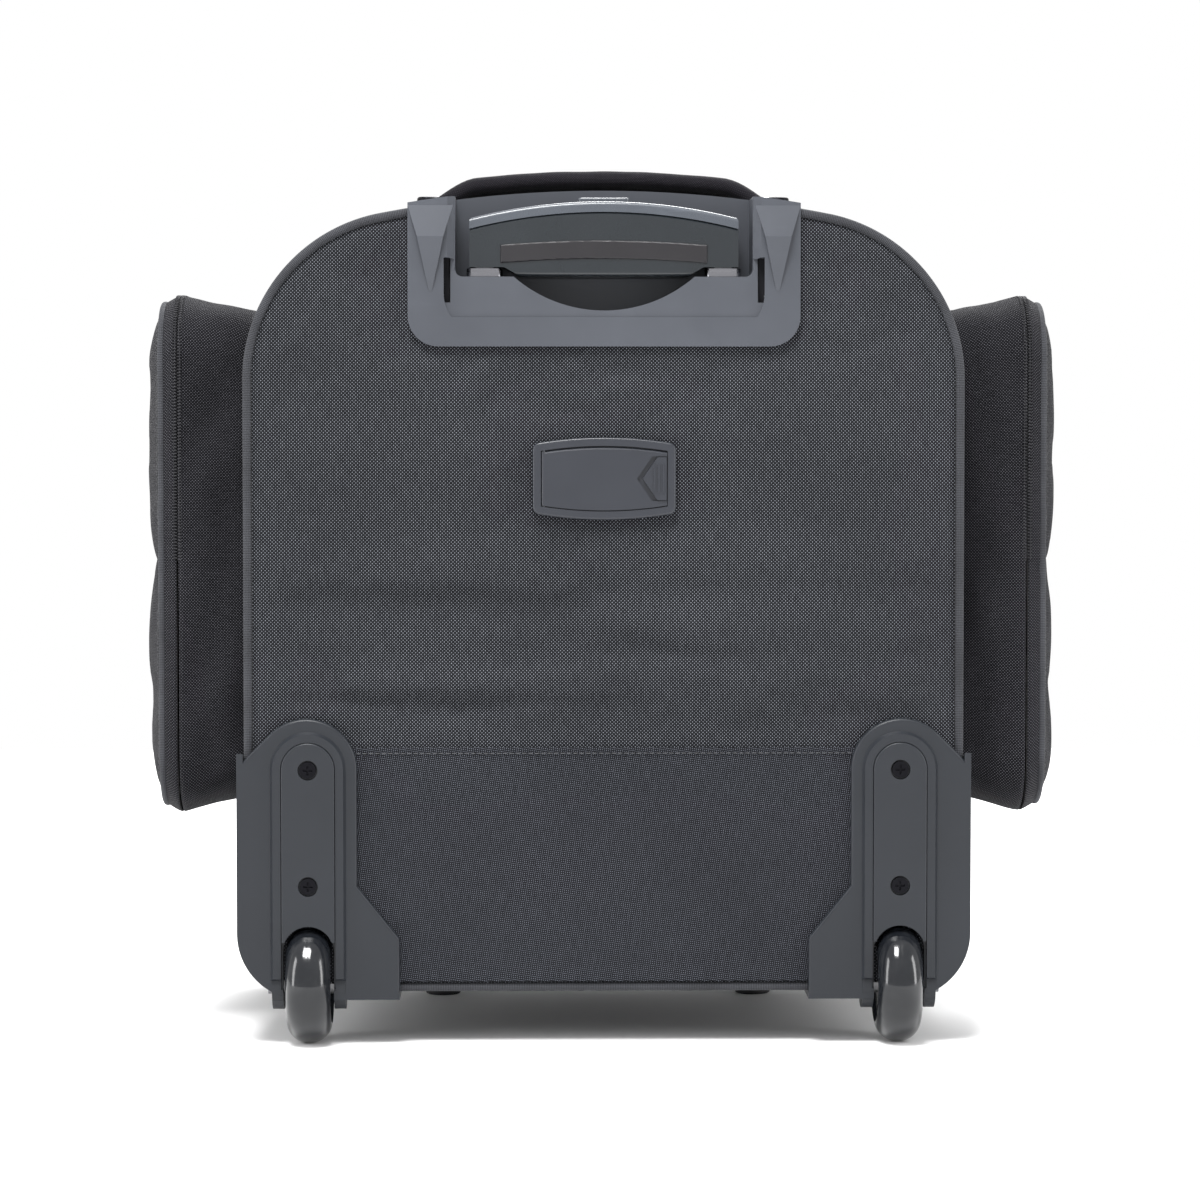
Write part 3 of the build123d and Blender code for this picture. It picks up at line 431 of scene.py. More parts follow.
def woven(name, dark, light, yarn, relief, turn=0.0, contrast=0.10):
    """Plain weave of round yarns: every second crossing shows its warp, which catches more light. The
    pattern is the cloth's own; its colour paints a highlight on the raised crossings and shade in the gaps
    between the yarns.
    """
    look = Look(name)
    x, y, _ = look.split(look.stretch(look.uv, (1 / yarn, 1 / yarn, 1), turn))
    wave_x, wave_y = look.ridges(x, math.pi), look.ridges(y, math.pi)
    parity = look.add(look.math("FLOOR", x), look.math("FLOOR", y))
    warp = look.math("FLOORED_MODULO", parity, 2.0)
    across = look.add(look.times(wave_x, warp), look.times(wave_y, look.math("SUBTRACT", 1.0, warp)))
    knuckle = look.times(look.times(wave_x, wave_y), across)
    level = look.span(warp, 0, 1, contrast, 1.0)
    slub = look.noise(look.stretch(look.uv, (900, 120, 1)), 1.0, 3.0)
    patchy = look.span(look.noise(look.solid, 9.0, 3.0), 0.3, 0.7, 0.86, 1.12)
    fibre = look.span(slub, 0.3, 0.7, 0.75, 1.2)
    share = look.times(look.times(look.math("POWER", knuckle, 1.25), level), fibre)
    # painted highlight on the raised crossings and painted shade in the gaps between the yarns
    color = look.mix(look.times(share, patchy), dark, light)
    rough = look.span(share, 0, 1, 0.88, 0.62)
    return look.set(color=color, roughness=rough, normal=look.bump(knuckle, relief), sheen=0.06,
                    sheen_roughness=0.35, specular=0.10)


def ribbed(name, dark, light, rib, relief):
    """Narrow ribs across a cord or a tape. The ribs are the cord's own; their colour paints a highlight on
    each crest and shade between them.
    """
    look = Look(name)
    x, y, _ = look.split(look.uv)
    wave, cross = look.ridges(y, math.pi / rib), look.ridges(x, math.pi / rib)
    height = look.times(wave, look.span(cross, 0, 1, 0.55, 1.0))
    patchy = look.span(look.noise(look.solid, 40.0, 3.0), 0.3, 0.7, 0.7, 1.2)
    # painted highlight on the rib crests and painted shade between the ribs
    color = look.mix(look.times(height, patchy), dark, light)
    return look.set(color=color, roughness=0.8, normal=look.bump(height, relief), sheen=0.05,
                    sheen_roughness=0.4, specular=0.3)


def moulded(name, color, roughness, grain, relief, wear=0.25, specular=0.45):
    """Moulded plastic: a fine spark-eroded grain, faint handling marks and paler worn patches."""
    look = Look(name)
    fine = look.noise(look.solid, 1 / grain, 2.0)
    broad = look.noise(look.solid, 14.0, 4.0, 0.6)
    scuffs = look.noise(look.stretch(look.solid, (40, 40, 260)), 1.0, 5.0, 0.65)
    base = look.mix(look.span(broad, 0.3, 0.7), shade(color, 0.9), shade(color, 1.1))
    worn = look.mix(look.span(scuffs, 0.60, 0.74, 0.0, wear), base, shade(color, 1.8))
    rough = look.add(look.span(fine, 0.3, 0.7, roughness - 0.05, roughness + 0.05),
                     look.span(broad, 0.3, 0.7, -0.05, 0.05))
    return look.set(color=worn, roughness=rough, normal=look.bump(fine, relief), specular=specular,
                    coat_roughness=0.15)


def satin(name, color, roughness, relief, sheen=0.1, specular=0.5, weave=0.0):
    """Coated fabric: smooth, with a very fine grain, and the ghost of its weave where it has one."""
    look = Look(name)
    fine = look.noise(look.solid, 1400.0, 2.0)
    soft = look.noise(look.solid, 22.0, 4.0, 0.6)
    base = look.mix(look.span(soft, 0.3, 0.7), shade(color, 0.86), shade(color, 1.14))
    rough = look.span(soft, 0.3, 0.7, roughness - 0.06, roughness + 0.06)
    height = look.add(fine, look.times(soft, 3.0))
    if weave:
        x, y, _ = look.split(look.stretch(look.uv, (math.pi / weave, math.pi / weave, 1), 0.3))
        ridge = look.times(look.math("SINE", x), look.math("SINE", y))
        base = look.mix(look.span(ridge, -1, 1), shade(color, 0.5), shade(color, 1.7))
        height = look.add(height, ridge)
    return look.set(color=base, roughness=rough, normal=look.bump(height, relief), sheen=sheen,
                    sheen_roughness=0.5, specular=specular)


def metal(name, color, roughness, drawn=(60, 60, 2400), relief=0.00002):
    """Metal with drawing lines along its length."""
    look = Look(name)
    lines = look.noise(look.stretch(look.solid, drawn), 1.0, 4.0, 0.6)
    tone = look.mix(look.span(lines, 0.3, 0.7), shade(color, 0.88), shade(color, 1.05))
    rough = look.span(lines, 0.3, 0.7, roughness - 0.08, roughness + 0.08)
    return look.set(color=tone, roughness=rough, metallic=1.0, normal=look.bump(lines, relief))


def tyre_look(name):
    """Cast polyurethane: glossy, with fine scratches around it and a little dust."""
    look = Look(name)
    scratch = look.noise(look.stretch(look.solid, (30, 400, 400)), 1.0, 4.0, 0.6)
    dust = look.noise(look.solid, 160.0, 4.0, 0.7)
    base = look.mix(look.span(dust, 0.45, 0.8), rgb(0.006, 0.007, 0.009), rgb(0.014, 0.015, 0.017))
    rough = look.span(scratch, 0.3, 0.7, 0.08, 0.18)
    return look.set(color=base, roughness=rough, normal=look.bump(scratch, 0.00004), specular=0.4,
                    coat=0.12, coat_roughness=0.05)


LOOKS = {
    "ballistic_fabric": woven("ballistic", rgb(0.002, 0.002, 0.003), rgb(0.195, 0.206, 0.230), 0.95 * MM,
                              0.34 * MM),
    "gusset_fabric": woven("gusset_weave", rgb(0.001, 0.001, 0.002), rgb(0.098, 0.099, 0.112), 0.95 * MM,
                           0.34 * MM),
    "fine_fabric": woven("fine_weave", rgb(0.003, 0.003, 0.004), rgb(0.135, 0.144, 0.170), 0.76 * MM,
                         0.24 * MM, turn=0.62),
    # painted shade: the side pockets take a darker copy of the back's weave, for the shade on the case's
    # sides
    "panel_fabric": woven("panel_weave_painted_shade", rgb(0.001, 0.001, 0.002), rgb(0.100, 0.099, 0.112), 0.85 * MM,
                          0.3 * MM),
    "lining": woven("lining_weave", rgb(0.012, 0.012, 0.014), rgb(0.050, 0.052, 0.058), 0.4 * MM,
                    0.08 * MM, contrast=0.7),
    # the piping's paler crest colour is a painted highlight
    "piping": ribbed("piping_weave", rgb(0.003, 0.003, 0.004), rgb(0.050, 0.052, 0.060), 0.9 * MM, 0.2 * MM),
    "tape": ribbed("zipper_tape", rgb(0.003, 0.003, 0.004), rgb(0.026, 0.026, 0.030), 0.7 * MM, 0.12 * MM),
    "webbing": woven("handle_weave", rgb(0.002, 0.002, 0.003), rgb(0.055, 0.050, 0.062), 0.7 * MM,
                     0.22 * MM, contrast=0.3),
    "thread": satin("thread", rgb(0.026, 0.027, 0.031), 0.6, 0.00001, sheen=0.1),
    "coil": moulded("zipper_coil", rgb(0.010, 0.010, 0.012), 0.5, 0.6 * MM, 0.00001, specular=0.25),
    "satin_panel": satin("satin", rgb(0.015, 0.016, 0.020), 0.50, 0.00004, sheen=0.03, specular=0.3),
    "front_fabric": satin("front_face", rgb(0.0060, 0.0060, 0.0075), 0.52, 0.00006, sheen=0.04,
                          specular=0.24, weave=0.55 * MM),
    "housing_plastic": moulded("housing", rgb(0.014, 0.016, 0.020), 0.42, 0.35 * MM, 0.00002, wear=0.10,
                               specular=0.3),
    "trolley_plastic": moulded("trolley_plate", rgb(0.046, 0.050, 0.060), 0.40, 0.35 * MM, 0.00002,
                               wear=0.10, specular=0.4),
    "grip_plastic": moulded("grip_body", rgb(0.012, 0.015, 0.018), 0.26, 0.3 * MM, 0.00001, specular=0.5),
    "grip_cover_plastic": moulded("grip_shell", rgb(0.055, 0.062, 0.074), 0.28, 0.3 * MM, 0.00001,
                                  specular=0.5),
    "soft_rubber": moulded("grip_rubber", rgb(0.007, 0.006, 0.008), 0.5, 0.5 * MM, 0.00003),
    "foot_rubber": moulded("foot_rubber", rgb(0.005, 0.005, 0.006), 0.55, 0.5 * MM, 0.00003),
    "tag_plastic": moulded("tag_body", rgb(0.016, 0.018, 0.024), 0.36, 0.3 * MM, 0.00001, wear=0.1),
    "hub_plastic": moulded("hub", rgb(0.016, 0.017, 0.020), 0.34, 0.4 * MM, 0.00002),
    "tyre": tyre_look("tyre"),
    "tube_aluminium": metal("tube", rgb(0.30, 0.31, 0.33), 0.36, drawn=(2400, 2400, 30)),
    "steel": metal("plated_steel", rgb(0.36, 0.36, 0.37), 0.35),
    "bright_metal": metal("nickel", rgb(0.26, 0.26, 0.28), 0.22),
    # painted shade: the housing screws and studs are coloured near black for the shade in the holes they sit
    # in
    "dark_screw": metal("dark_screw_painted_hole_shade", rgb(0.011, 0.011, 0.013), 0.42, relief=0.00004),
    "pull_plastic": moulded("dark_enamel", rgb(0.009, 0.009, 0.010), 0.26, 0.5 * MM, 0.00001),
    "card": satin("card", rgb(0.42, 0.42, 0.40), 0.7, 0.00001, sheen=0.0),
}

# look: the CAD nodes that keep their shape and take it
CAD_LOOKS = {
    "trolley_plastic": ("trolley_housing",),
    "housing_plastic": ("wheel_housing_left", "wheel_housing_right", "wheel_covers"),
    "grip_plastic": ("grip_frame",),
    "grip_cover_plastic": ("grip_cover", "grip_button"),
    "soft_rubber": ("grip_rubber", "mid_tube_shoes", "inner_tube_shoes"),
    "tube_aluminium": ("outer_tubes", "mid_tubes", "inner_tubes"),
    "bright_metal": ("mid_tube_collars", "axle_bolts", "handle_rivets", "main_pull_left", "main_pull_right"),
    "steel": ("push_rods", "button_springs", "bearing_outer_races_left", "bearing_outer_races_right",
              "bearing_inner_races", "axle_washers"),
    "hub_plastic": ("tube_base_bar", "wheel_hub_left", "wheel_hub_right"),
    "lining": ("tube_cover", "frame_boards"),
    "tyre": ("wheel_tyre_left", "wheel_tyre_right"),
    "foot_rubber": ("feet",),
    "dark_screw": ("housing_screws", "housing_studs"),
    "tag_plastic": ("tag_frame", "tag_door", "tag_latch"),
    "card": ("tag_card",),
    "pull_plastic": ("zipper_sliders", "front_slider", "side_pull_left", "side_pull_right", "front_pull"),
}


def dress_cad_nodes():
    for look, names in CAD_LOOKS.items():
        for name in names:
            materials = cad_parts[name].data.materials
            materials.clear()
            materials.append(LOOKS[look])


# ---- lines, teeth and stitches
def on_ring(ring, depth):
    """The outline's points as 3-D points at one depth."""
    return stood(ring, depth_y(depth))


def ring_normals(ring):
    """Outward directions of a closed (x, z) outline, as 3-D directions."""
    return stood(outward(ring), 0.0)


def stretch_of(line, normals, wanted):
    """The first unbroken run of a closed line where wanted is true."""
    start = np.flatnonzero(wanted & ~np.roll(wanted, 1))[0]
    order = np.roll(np.arange(len(line)), -start)
    count = int(np.argmin(wanted[order])) if not wanted.all() else len(line)
    return line[order[:count]], normals[order[:count]]


def spaced(line, normals, pitch, shift=0.0):
    """Positions, tangents, normals and sideways directions every pitch along a line."""
    along = travelled(line)
    at = np.arange(pitch * (0.5 + shift), along[-1], pitch)
    centres = np.stack([np.interp(at, along, line[:, k]) for k in range(3)], 1)
    tangents, out, side = frames_along(line, normals, False)
    axes = [np.stack([np.interp(at, along, a[:, k]) for k in range(3)], 1) for a in (tangents, side, out)]
    return centres, np.stack([a / np.linalg.norm(a, axis=1)[:, None] for a in axes], 1)


def bar_shape(length, width, height, waist=0.6):
    """A small bar with rounded ends: length runs along the line, width to its side, height outward."""
    points = []
    for x, share in ((-0.5, waist), (-0.28, 1.0), (0.28, 1.0), (0.5, waist)):
        for y, z in ((-0.5, 0.0), (-0.32, 0.8), (0.0, 1.0), (0.32, 0.8), (0.5, 0.0)):
            points.append((x * length, y * width * share, z * height * share))
    faces = []
    for j in range(3):
        faces += [(j * 5 + i, j * 5 + i + 1, j * 5 + i + 6, j * 5 + i + 5) for i in range(4)]
        faces.append((j * 5 + 4, j * 5, j * 5 + 5, j * 5 + 9))
    faces += [(4, 3, 2, 1, 0), (15, 16, 17, 18, 19)]
    return np.array(points), faces


STITCH = (2.5 * MM, 0.55 * MM, 0.38 * MM)  # length, width and height
STITCH_LIFT = 0.15 * MM
TOOTH_PITCH = 1.7 * MM
TOOTH_WIDTH = 0.95 * MM
POCKET_TOOTH = 2.6 * MM  # reach of the smaller teeth on the pockets


def stitches(name, line, normals, pitch=3.4 * MM):
    """A row of thread stitches that lie on a surface."""
    centres, axes = spaced(line, normals, pitch)
    template, faces = bar_shape(*STITCH)
    piece = scattered(name, centres + axes[:, 2] * STITCH_LIFT, axes, template, faces)
    piece.data.materials.append(LOOKS["thread"])
    return piece


def teeth(name, line, normals, shift=0.0, sideways=0.0, reach=3.2 * MM):
    """One side of a zipper: small bars across the line, which mesh with those of the other side."""
    centres, axes = spaced(line, normals, TOOTH_PITCH, shift)
    template, faces = bar_shape(reach, TOOTH_WIDTH, TOOTH_WIDTH, 0.75)
    turned = np.stack([axes[:, 1], axes[:, 0], axes[:, 2]], 1)
    piece = scattered(name, centres + axes[:, 1] * sideways, turned, template, faces)
    piece.data.materials.append(LOOKS["coil"])
    return piece


def cord_on(name, line, normals, radius, closed=False):
    """A round piping cord along a line."""
    piece = swept(name, line, normals, circle(radius, 14), closed)
    piece.data.materials.append(LOOKS["piping"])
    return piece


# ---- cloth simulation
CLOTH_FRAMES = 24
CLOTH_STEP = 2  # the simulated sheet takes every second point of the finished one
CLOTH_SETTINGS = {
    "quality": 8,
    "mass": 0.25,
    "tension_stiffness": 30,
    "compression_stiffness": 30,
    "shear_stiffness": 12,
    "bending_stiffness": 6,
    "air_damping": 4,
    "vertex_group_mass": "held",
    "use_pressure": True,
}


def spread(values, count, axis):
    """Values read at more, evenly spaced positions along one axis."""
    old, new = np.linspace(0, 1, values.shape[axis]), np.linspace(0, 1, count)
    return np.apply_along_axis(lambda line: np.interp(new, old, line), axis, values)


def cloth_offset(points, held, growth, pressure, cap, flip=False):
    """How a sheet's points move when its cloth is cut a little too large and pushed out from behind.
    held is 1 where it is sewn down and 0 where it is free; no point moves further than cap."""
    coarse, pins = points[::CLOTH_STEP, ::CLOTH_STEP], held[::CLOTH_STEP, ::CLOTH_STEP].ravel()
    trial = grid("cloth_trial", coarse, flip=flip)
    group = trial.vertex_groups.new(name="held")
    for i, weight in enumerate(pins):
        group.add([i], float(weight), "REPLACE")
    cloth = trial.modifiers.new("cloth", "CLOTH")
    for key, value in CLOTH_SETTINGS.items():
        setattr(cloth.settings, key, value)
    cloth.settings.shrink_min = -growth
    cloth.settings.uniform_pressure_force = pressure
    cloth.settings.effector_weights.gravity = 0
    cloth.collision_settings.use_collision = False
    cloth.point_cache.frame_start = 1
    cloth.point_cache.frame_end = CLOTH_FRAMES
    for frame_number in range(1, CLOTH_FRAMES + 1):
        bpy.context.scene.frame_set(frame_number)
    settled = trial.evaluated_get(bpy.context.evaluated_depsgraph_get()).to_mesh()
    moved = np.array([v.co for v in settled.vertices]).reshape(coarse.shape) - coarse
    bpy.data.meshes.remove(trial.data)  # the trial object goes with it
    bpy.context.scene.frame_set(1)
    length = np.linalg.norm(moved, axis=2, keepdims=True)
    moved = moved * np.minimum(1, cap / np.maximum(length, 1e-9))
    return spread(spread(moved, points.shape[0], 0), points.shape[1], 1) * (1 - held)[..., None]


# ---- case body
SHELL_ROWS = np.concatenate([np.linspace(4.5, 12, 3), np.linspace(20, 198, 22), [204, 207]]) * MM
RECESS_X = 81 * MM
RECESS_DEPTH = 39 * MM
WELL_X = (137.5 * MM, 177.5 * MM)
WELL_DEPTH = 48.5 * MM
WELL_Z = 70 * MM


def in_shell(centre):
    """False over the trolley recess and the wheel wells."""
    x, depth, z = abs(centre[0]), BACK_Y - centre[1], centre[2]
    over_recess = x < RECESS_X and depth < RECESS_DEPTH and z > TOP_Z - 30 * MM
    over_wheel = WELL_X[0] < x < WELL_X[1] and depth < WELL_DEPTH and z < WELL_Z
    return not (over_recess or over_wheel)


def make_shell():
    """The gusset around the case: stretched at its two seams and a little slack between them."""
    ring = case_ring()
    out = ring_normals(ring)
    rows = []
    for depth in SHELL_ROWS:
        share = math.sin(math.pi * np.clip((depth - 4.5 * MM) / (202.5 * MM), 0, 1))
        points = on_ring(ring, depth)
        upright = np.abs(out[:, 0]) ** 2
        slack = 1.3 * MM * share * upright + 0.25 * MM * share
        ripple = 0.55 * MM * share * bumps(points, 55 * MM, 1, (1, 1.4, 1))
        fold = 0.5 * MM * share * bumps(points, 24 * MM, 2, (1.6, 1, 0.8))
        rows.append(points - out * (slack - ripple * 0.6 - fold * 0.4)[:, None])
    piece = grid("main_shell", np.array(rows), closed=True, keep=in_shell)
    thicken(piece, 0.8 * MM)
    placed(piece, "case", "ballistic_fabric", "main_gusset", look="gusset_fabric")


# ---- back
COVER_INSET = 4.2 * MM
COVER_GROWTH = 0.012
COVER_PRESSURE = 1.2
COVER_CAP = 1.8 * MM
FOLD_DEPTH = 2.8
FOLD_LIMIT = 3.0 * MM  # how far a fold stands out at most, so that the side view shows only the cord
BELLY = 3.0 * MM  # the cover hangs out in one broad belly above the kick panel
BELLY_Z = 205 * MM
# each fold of the back cover: height of its crest, its width, its depth, where it is strongest, its
# reach to each side, and how much it tilts
BACK_FOLDS = (
    (0.251, 0.012, 2.3, 0.060, 0.105, -0.020),
    (0.236, 0.017, -2.2, 0.070, 0.115, -0.030),
    (0.259, 0.010, 1.8, -0.115, 0.060, 0.050),
    (0.221, 0.011, 1.9, -0.090, 0.080, 0.030),
    (0.207, 0.014, -2.2, 0.020, 0.120, 0.015),
    (0.193, 0.010, 2.4, -0.020, 0.130, -0.020),
    (0.179, 0.009, -2.2, 0.080, 0.090, -0.045),
    (0.184, 0.009, 1.6, -0.120, 0.060, 0.080),
    (0.306, 0.020, 1.3, 0.115, 0.055, 0.120),
    (0.330, 0.024, 1.1, -0.115, 0.055, -0.140),
    (0.375, 0.024, 0.9, 0.130, 0.040, 0.200),
)
KICK_TOP = KICK_BOX[1].z
KICK_HALF = 136 * MM
TAG_LOW, TAG_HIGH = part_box("tag_frame")
TAG_GAP = 2 * MM
HELD_EDGE = 14 * MM  # the cover rises from flat to free over this distance
PIPING_LOW = 76 * MM  # the wheel housings cover the back's cord below this height


def past(limit, value, gap=0.0):
    return smoothstep(limit + gap, limit + HELD_EDGE, value)


def flat_zones(points):
    """0 where the back cover is held flat: by the tag, or under the trolley plate, the kick panel and
    the wheel housings."""
    x, z = np.abs(points[..., 0]), points[..., 2]
    tag = [past(TAG_HIGH.x, x, TAG_GAP), past(TAG_HIGH.z, z, TAG_GAP), past(-TAG_LOW.z, -z, TAG_GAP)]
    plate = np.maximum(past(PLATE_BOX[1].x, x), past(-PLATE_BOX[0].z, -z))
    kick = smoothstep(KICK_TOP + 1 * MM, KICK_TOP + 22 * MM, z)
    housing = np.maximum(smoothstep(-110 * MM, -92 * MM, -x), smoothstep(176 * MM, 186 * MM, z))
    return np.maximum.reduce(tag) * plate * kick * housing


def on_cover(centre):
    """False inside the trolley recess, whose edge the plate hides."""
    return not (abs(centre[0]) < RECESS_X + 5 * MM and centre[2] > PLATE_BOX[0].z + 16 * MM)


def make_back_cover():
    """Coarse cover, sewn in at its rim and slack below the tag, where it hangs in broad folds."""
    ring = case_ring(inset=COVER_INSET)
    flat = patch(ring, ring_corners(), 150, 170)
    points = stood(flat, BACK_Y)
    edge = rim_distance(ring, flat)
    x, z = points[..., 0], points[..., 2]
    rise = 0.35 * MM * bumps(points, 70 * MM, 4) + 0.22 * MM * bumps(points, 22 * MM, 5, (1.8, 1, 0.7))
    for height, width, depth, middle, reach, tilt in BACK_FOLDS:
        wander = height + tilt * (x - middle) + 0.006 * bumps(points, 60 * MM, height * 90)
        along = np.exp(-(((x - middle) / reach) ** 2))
        rise = rise + FOLD_DEPTH * depth * MM * along * np.exp(-(((z - wander) / width) ** 2))
    rise = rise + BELLY * np.exp(-(((z - BELLY_Z) / (42 * MM)) ** 2)) * smoothstep(0, 90 * MM, edge)
    rise = FOLD_LIMIT * np.tanh(rise / FOLD_LIMIT) - 0.4 * MM
    held = flat_zones(points) * smoothstep(2 * MM, 26 * MM, edge)
    points[..., 1] += rise * held - 0.3 * MM - 1.9 * MM * (1 - smoothstep(0, 6 * MM, edge))
    points += cloth_offset(points, 1 - held, COVER_GROWTH, COVER_PRESSURE, COVER_CAP, flip=True)
    piece = grid("back_cover", points, keep=on_cover, flip=True, plane=(0, 2))
    thicken(piece, 2.2 * MM)
    placed(piece, "case", "ballistic_fabric", "back_panel", look="ballistic_fabric")


PIPING_TUCK = 12 * MM  # how far the cord runs in under the trolley plate's edge
PIPING_PLATE_Z = 300 * MM  # above this height the plate covers the middle of the cord
PIPING_FLOOR = (130 * MM, 60 * MM)  # half width and height of the run between the wheel housings


def make_back_piping():
    """Cord around the back's edge, except where the wheel housings and the trolley plate cover it."""
    ring = case_ring(inset=2.5 * MM, fine=2)
    line = on_ring(ring, 2.4 * MM)
    out = ring_normals(ring) + (0, 0.8, 0)
    x, z = ring.T
    past_plate = (np.abs(x) > PLATE_BOX[1].x - PIPING_TUCK) | (z < PIPING_PLATE_Z)
    beside = (z > PIPING_LOW) & past_plate
    below = (np.abs(x) < PIPING_FLOOR[0]) & (z < PIPING_FLOOR[1])
    uncovered = (beside & (x > 0), beside & (x < 0), below)
    runs = [cord_on("run", *stretch_of(line, out, wanted), PIPING_R) for wanted in uncovered]
    placed(joined("back_cord", runs), "case", "piping", "back_piping")


def make_kick_cover():
    """Finer cloth between the wheel housings; its top edge is turned under and stitched."""
    low = KICK_BOX[0].z + 0.8 * MM
    turned_under = [KICK_TOP - 1 * MM, KICK_TOP, KICK_TOP]
    heights = np.concatenate([np.linspace(low, KICK_TOP - 3 * MM, 40), turned_under])
    across = np.linspace(-KICK_HALF, KICK_HALF, 90)
    x, z = np.meshgrid(across, heights)
    points = stood(np.stack([x, z], -1), BACK_Y + 0.7 * MM)
    held = smoothstep(low, low + 25 * MM, z) * smoothstep(-KICK_TOP, -KICK_TOP + 12 * MM, -z)
    relief = 0.5 * MM * held * bumps(points, 60 * MM, 6) + 0.25 * MM * held * bumps(points, 20 * MM, 7)
    points[..., 1] += relief
    points[-3:, :, 1] += np.array([0.45, 0.3, -0.8])[:, None] * MM
    points[..., 2] += 0.5 * MM * bumps(points, 50 * MM, 8) * smoothstep(KICK_TOP - 9 * MM, KICK_TOP, z)
    piece = grid("kick_cover", points, flip=True, plane=(0, 2))
    placed(piece, "case", "fine_fabric", "kick_panel", look="fine_fabric")
    seam = np.column_stack([across, np.full(90, BACK_Y + 0.95 * MM), np.full(90, KICK_TOP - 3.2 * MM)])
    placed(stitches("kick_stitches", seam, repeated((0, 1, 0), 90)), "case", "fine_fabric")


# ---- main zipper and lid
def make_band(name, body, depths, inset, look, slot, *replaced):
    """A band around the case between two depths."""
    ring = case_ring(inset=inset)
    middle = len(depths) // 2
    rows = []
    for k, depth in enumerate(depths):
        sink = 0.0 if k in (0, len(depths) - 1) else 0.12 * MM * (1 + (k == middle))
        rows.append(on_ring(ring, depth) - ring_normals(ring) * sink)
    piece = grid(name, np.array(rows), closed=True)
    thicken(piece, 0.9 * MM)
    placed(piece, body, slot, *replaced, look=look)


def make_main_zipper():
    ring = case_ring(inset=1.2 * MM, fine=2)
    line, out = on_ring(ring, HINGE_DEPTH), ring_normals(ring)
    line, out = stretch_of(line, out, ring[:, 1] > TEETH_LOW)
    halves = (
        ("case", "body", np.linspace(206.6, 213.6, 5) * MM, -1.4 * MM, 0.0),
        ("lid", "lid", np.linspace(214.2, 221, 5) * MM, 1.4 * MM, 0.5),
    )
    for body, word, depths, sideways, shift in halves:
        make_band(f"zipper_tape_{word}", body, depths, 1.3 * MM, "tape", "coil", f"main_zipper_{word}")
        placed(teeth(f"zipper_teeth_{word}", line, out, shift, sideways), body, "coil")


def make_hinge():
    """Strip of cloth that joins the lid's lower edge to the case."""
    across = np.linspace(-160, 160, 65) * MM
    depths = np.linspace(205, 223, 19) * MM
    x, depth = np.meshgrid(across, depths)
    points = np.stack([x, BACK_Y - depth, np.full(x.shape, LOW_Z - 0.1 * MM)], -1)
    piece = grid("lid_hinge", points)
    thicken(piece, 0.7 * MM)
    piece.data.materials.append(LOOKS["fine_fabric"])
    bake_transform(piece)


def make_lid():
    depths = np.linspace(220.4, 229, 5) * MM
    make_band("lid_band", "lid", depths, 0.2 * MM, "gusset_fabric", "fine_fabric", "lid_gusset")
    cord_ring = case_ring(inset=1.0 * MM, fine=2)
    out = ring_normals(cord_ring) - (0, 0.8, 0)
    cord = cord_on("lid_cord", on_ring(cord_ring, LID_DEPTH + 1.4 * MM), out, 2.0 * MM, closed=True)
    placed(cord, "lid", "piping", "lid_piping")
    flat = patch(case_ring(inset=1.5 * MM), ring_corners(), 90, 100)
    points = stood(flat, depth_y(LID_DEPTH + 0.4 * MM))
    points[..., 1] += 0.4 * MM * bumps(points, 60 * MM, 12)
    face = grid("lid_face", points, plane=(0, 2))
    thicken(face, 3.0 * MM)
    placed(face, "lid", "ballistic_fabric", "lid_panel", look="front_fabric")
    ring = case_ring()
    for body, depth in (("case", 205.6 * MM), ("lid", 224 * MM)):
        line, normals = stretch_of(on_ring(ring, depth), ring_normals(ring), ring[:, 1] > TEETH_LOW)
        placed(stitches(f"{body}_seam_stitches", line, normals), body, "fine_fabric")


# ---- front pocket
# height above the floor against how far each line stands in front of the lid, in mm
RIM_STAND = (
    (50, 8), (70, 15), (95, 25), (120, 27), (140, 25.5), (171, 20.6), (203, 17.5),
    (240, 21.5), (281, 25.6), (313, 24), (338, 20), (370, 14.5), (404, 12),
)
FACE_STAND = (
    (45, 7), (54, 14), (62, 20), (79, 26.3), (96, 28.6), (122, 29.4), (165, 27.7), (224, 27.7),
    (275, 28.8), (301, 28.2), (327, 27), (344, 25.4), (361, 23.2), (378, 20), (395, 15), (404, 12.5),
)
POCKET_BASE = {"inset": 4 * MM, "drop": 18 * MM, "lift": 4 * MM}
POCKET_RIM = {"inset": 12 * MM, "drop": 38 * MM, "lift": 10 * MM}
POCKET_FACE = {"inset": 13.2 * MM, "drop": 38 * MM, "lift": 10 * MM}
FACE_SPAN = 46 * MM  # how far in from the rim the face reaches its full height


def stand(table, heights):
    return through(table, heights / MM) * MM


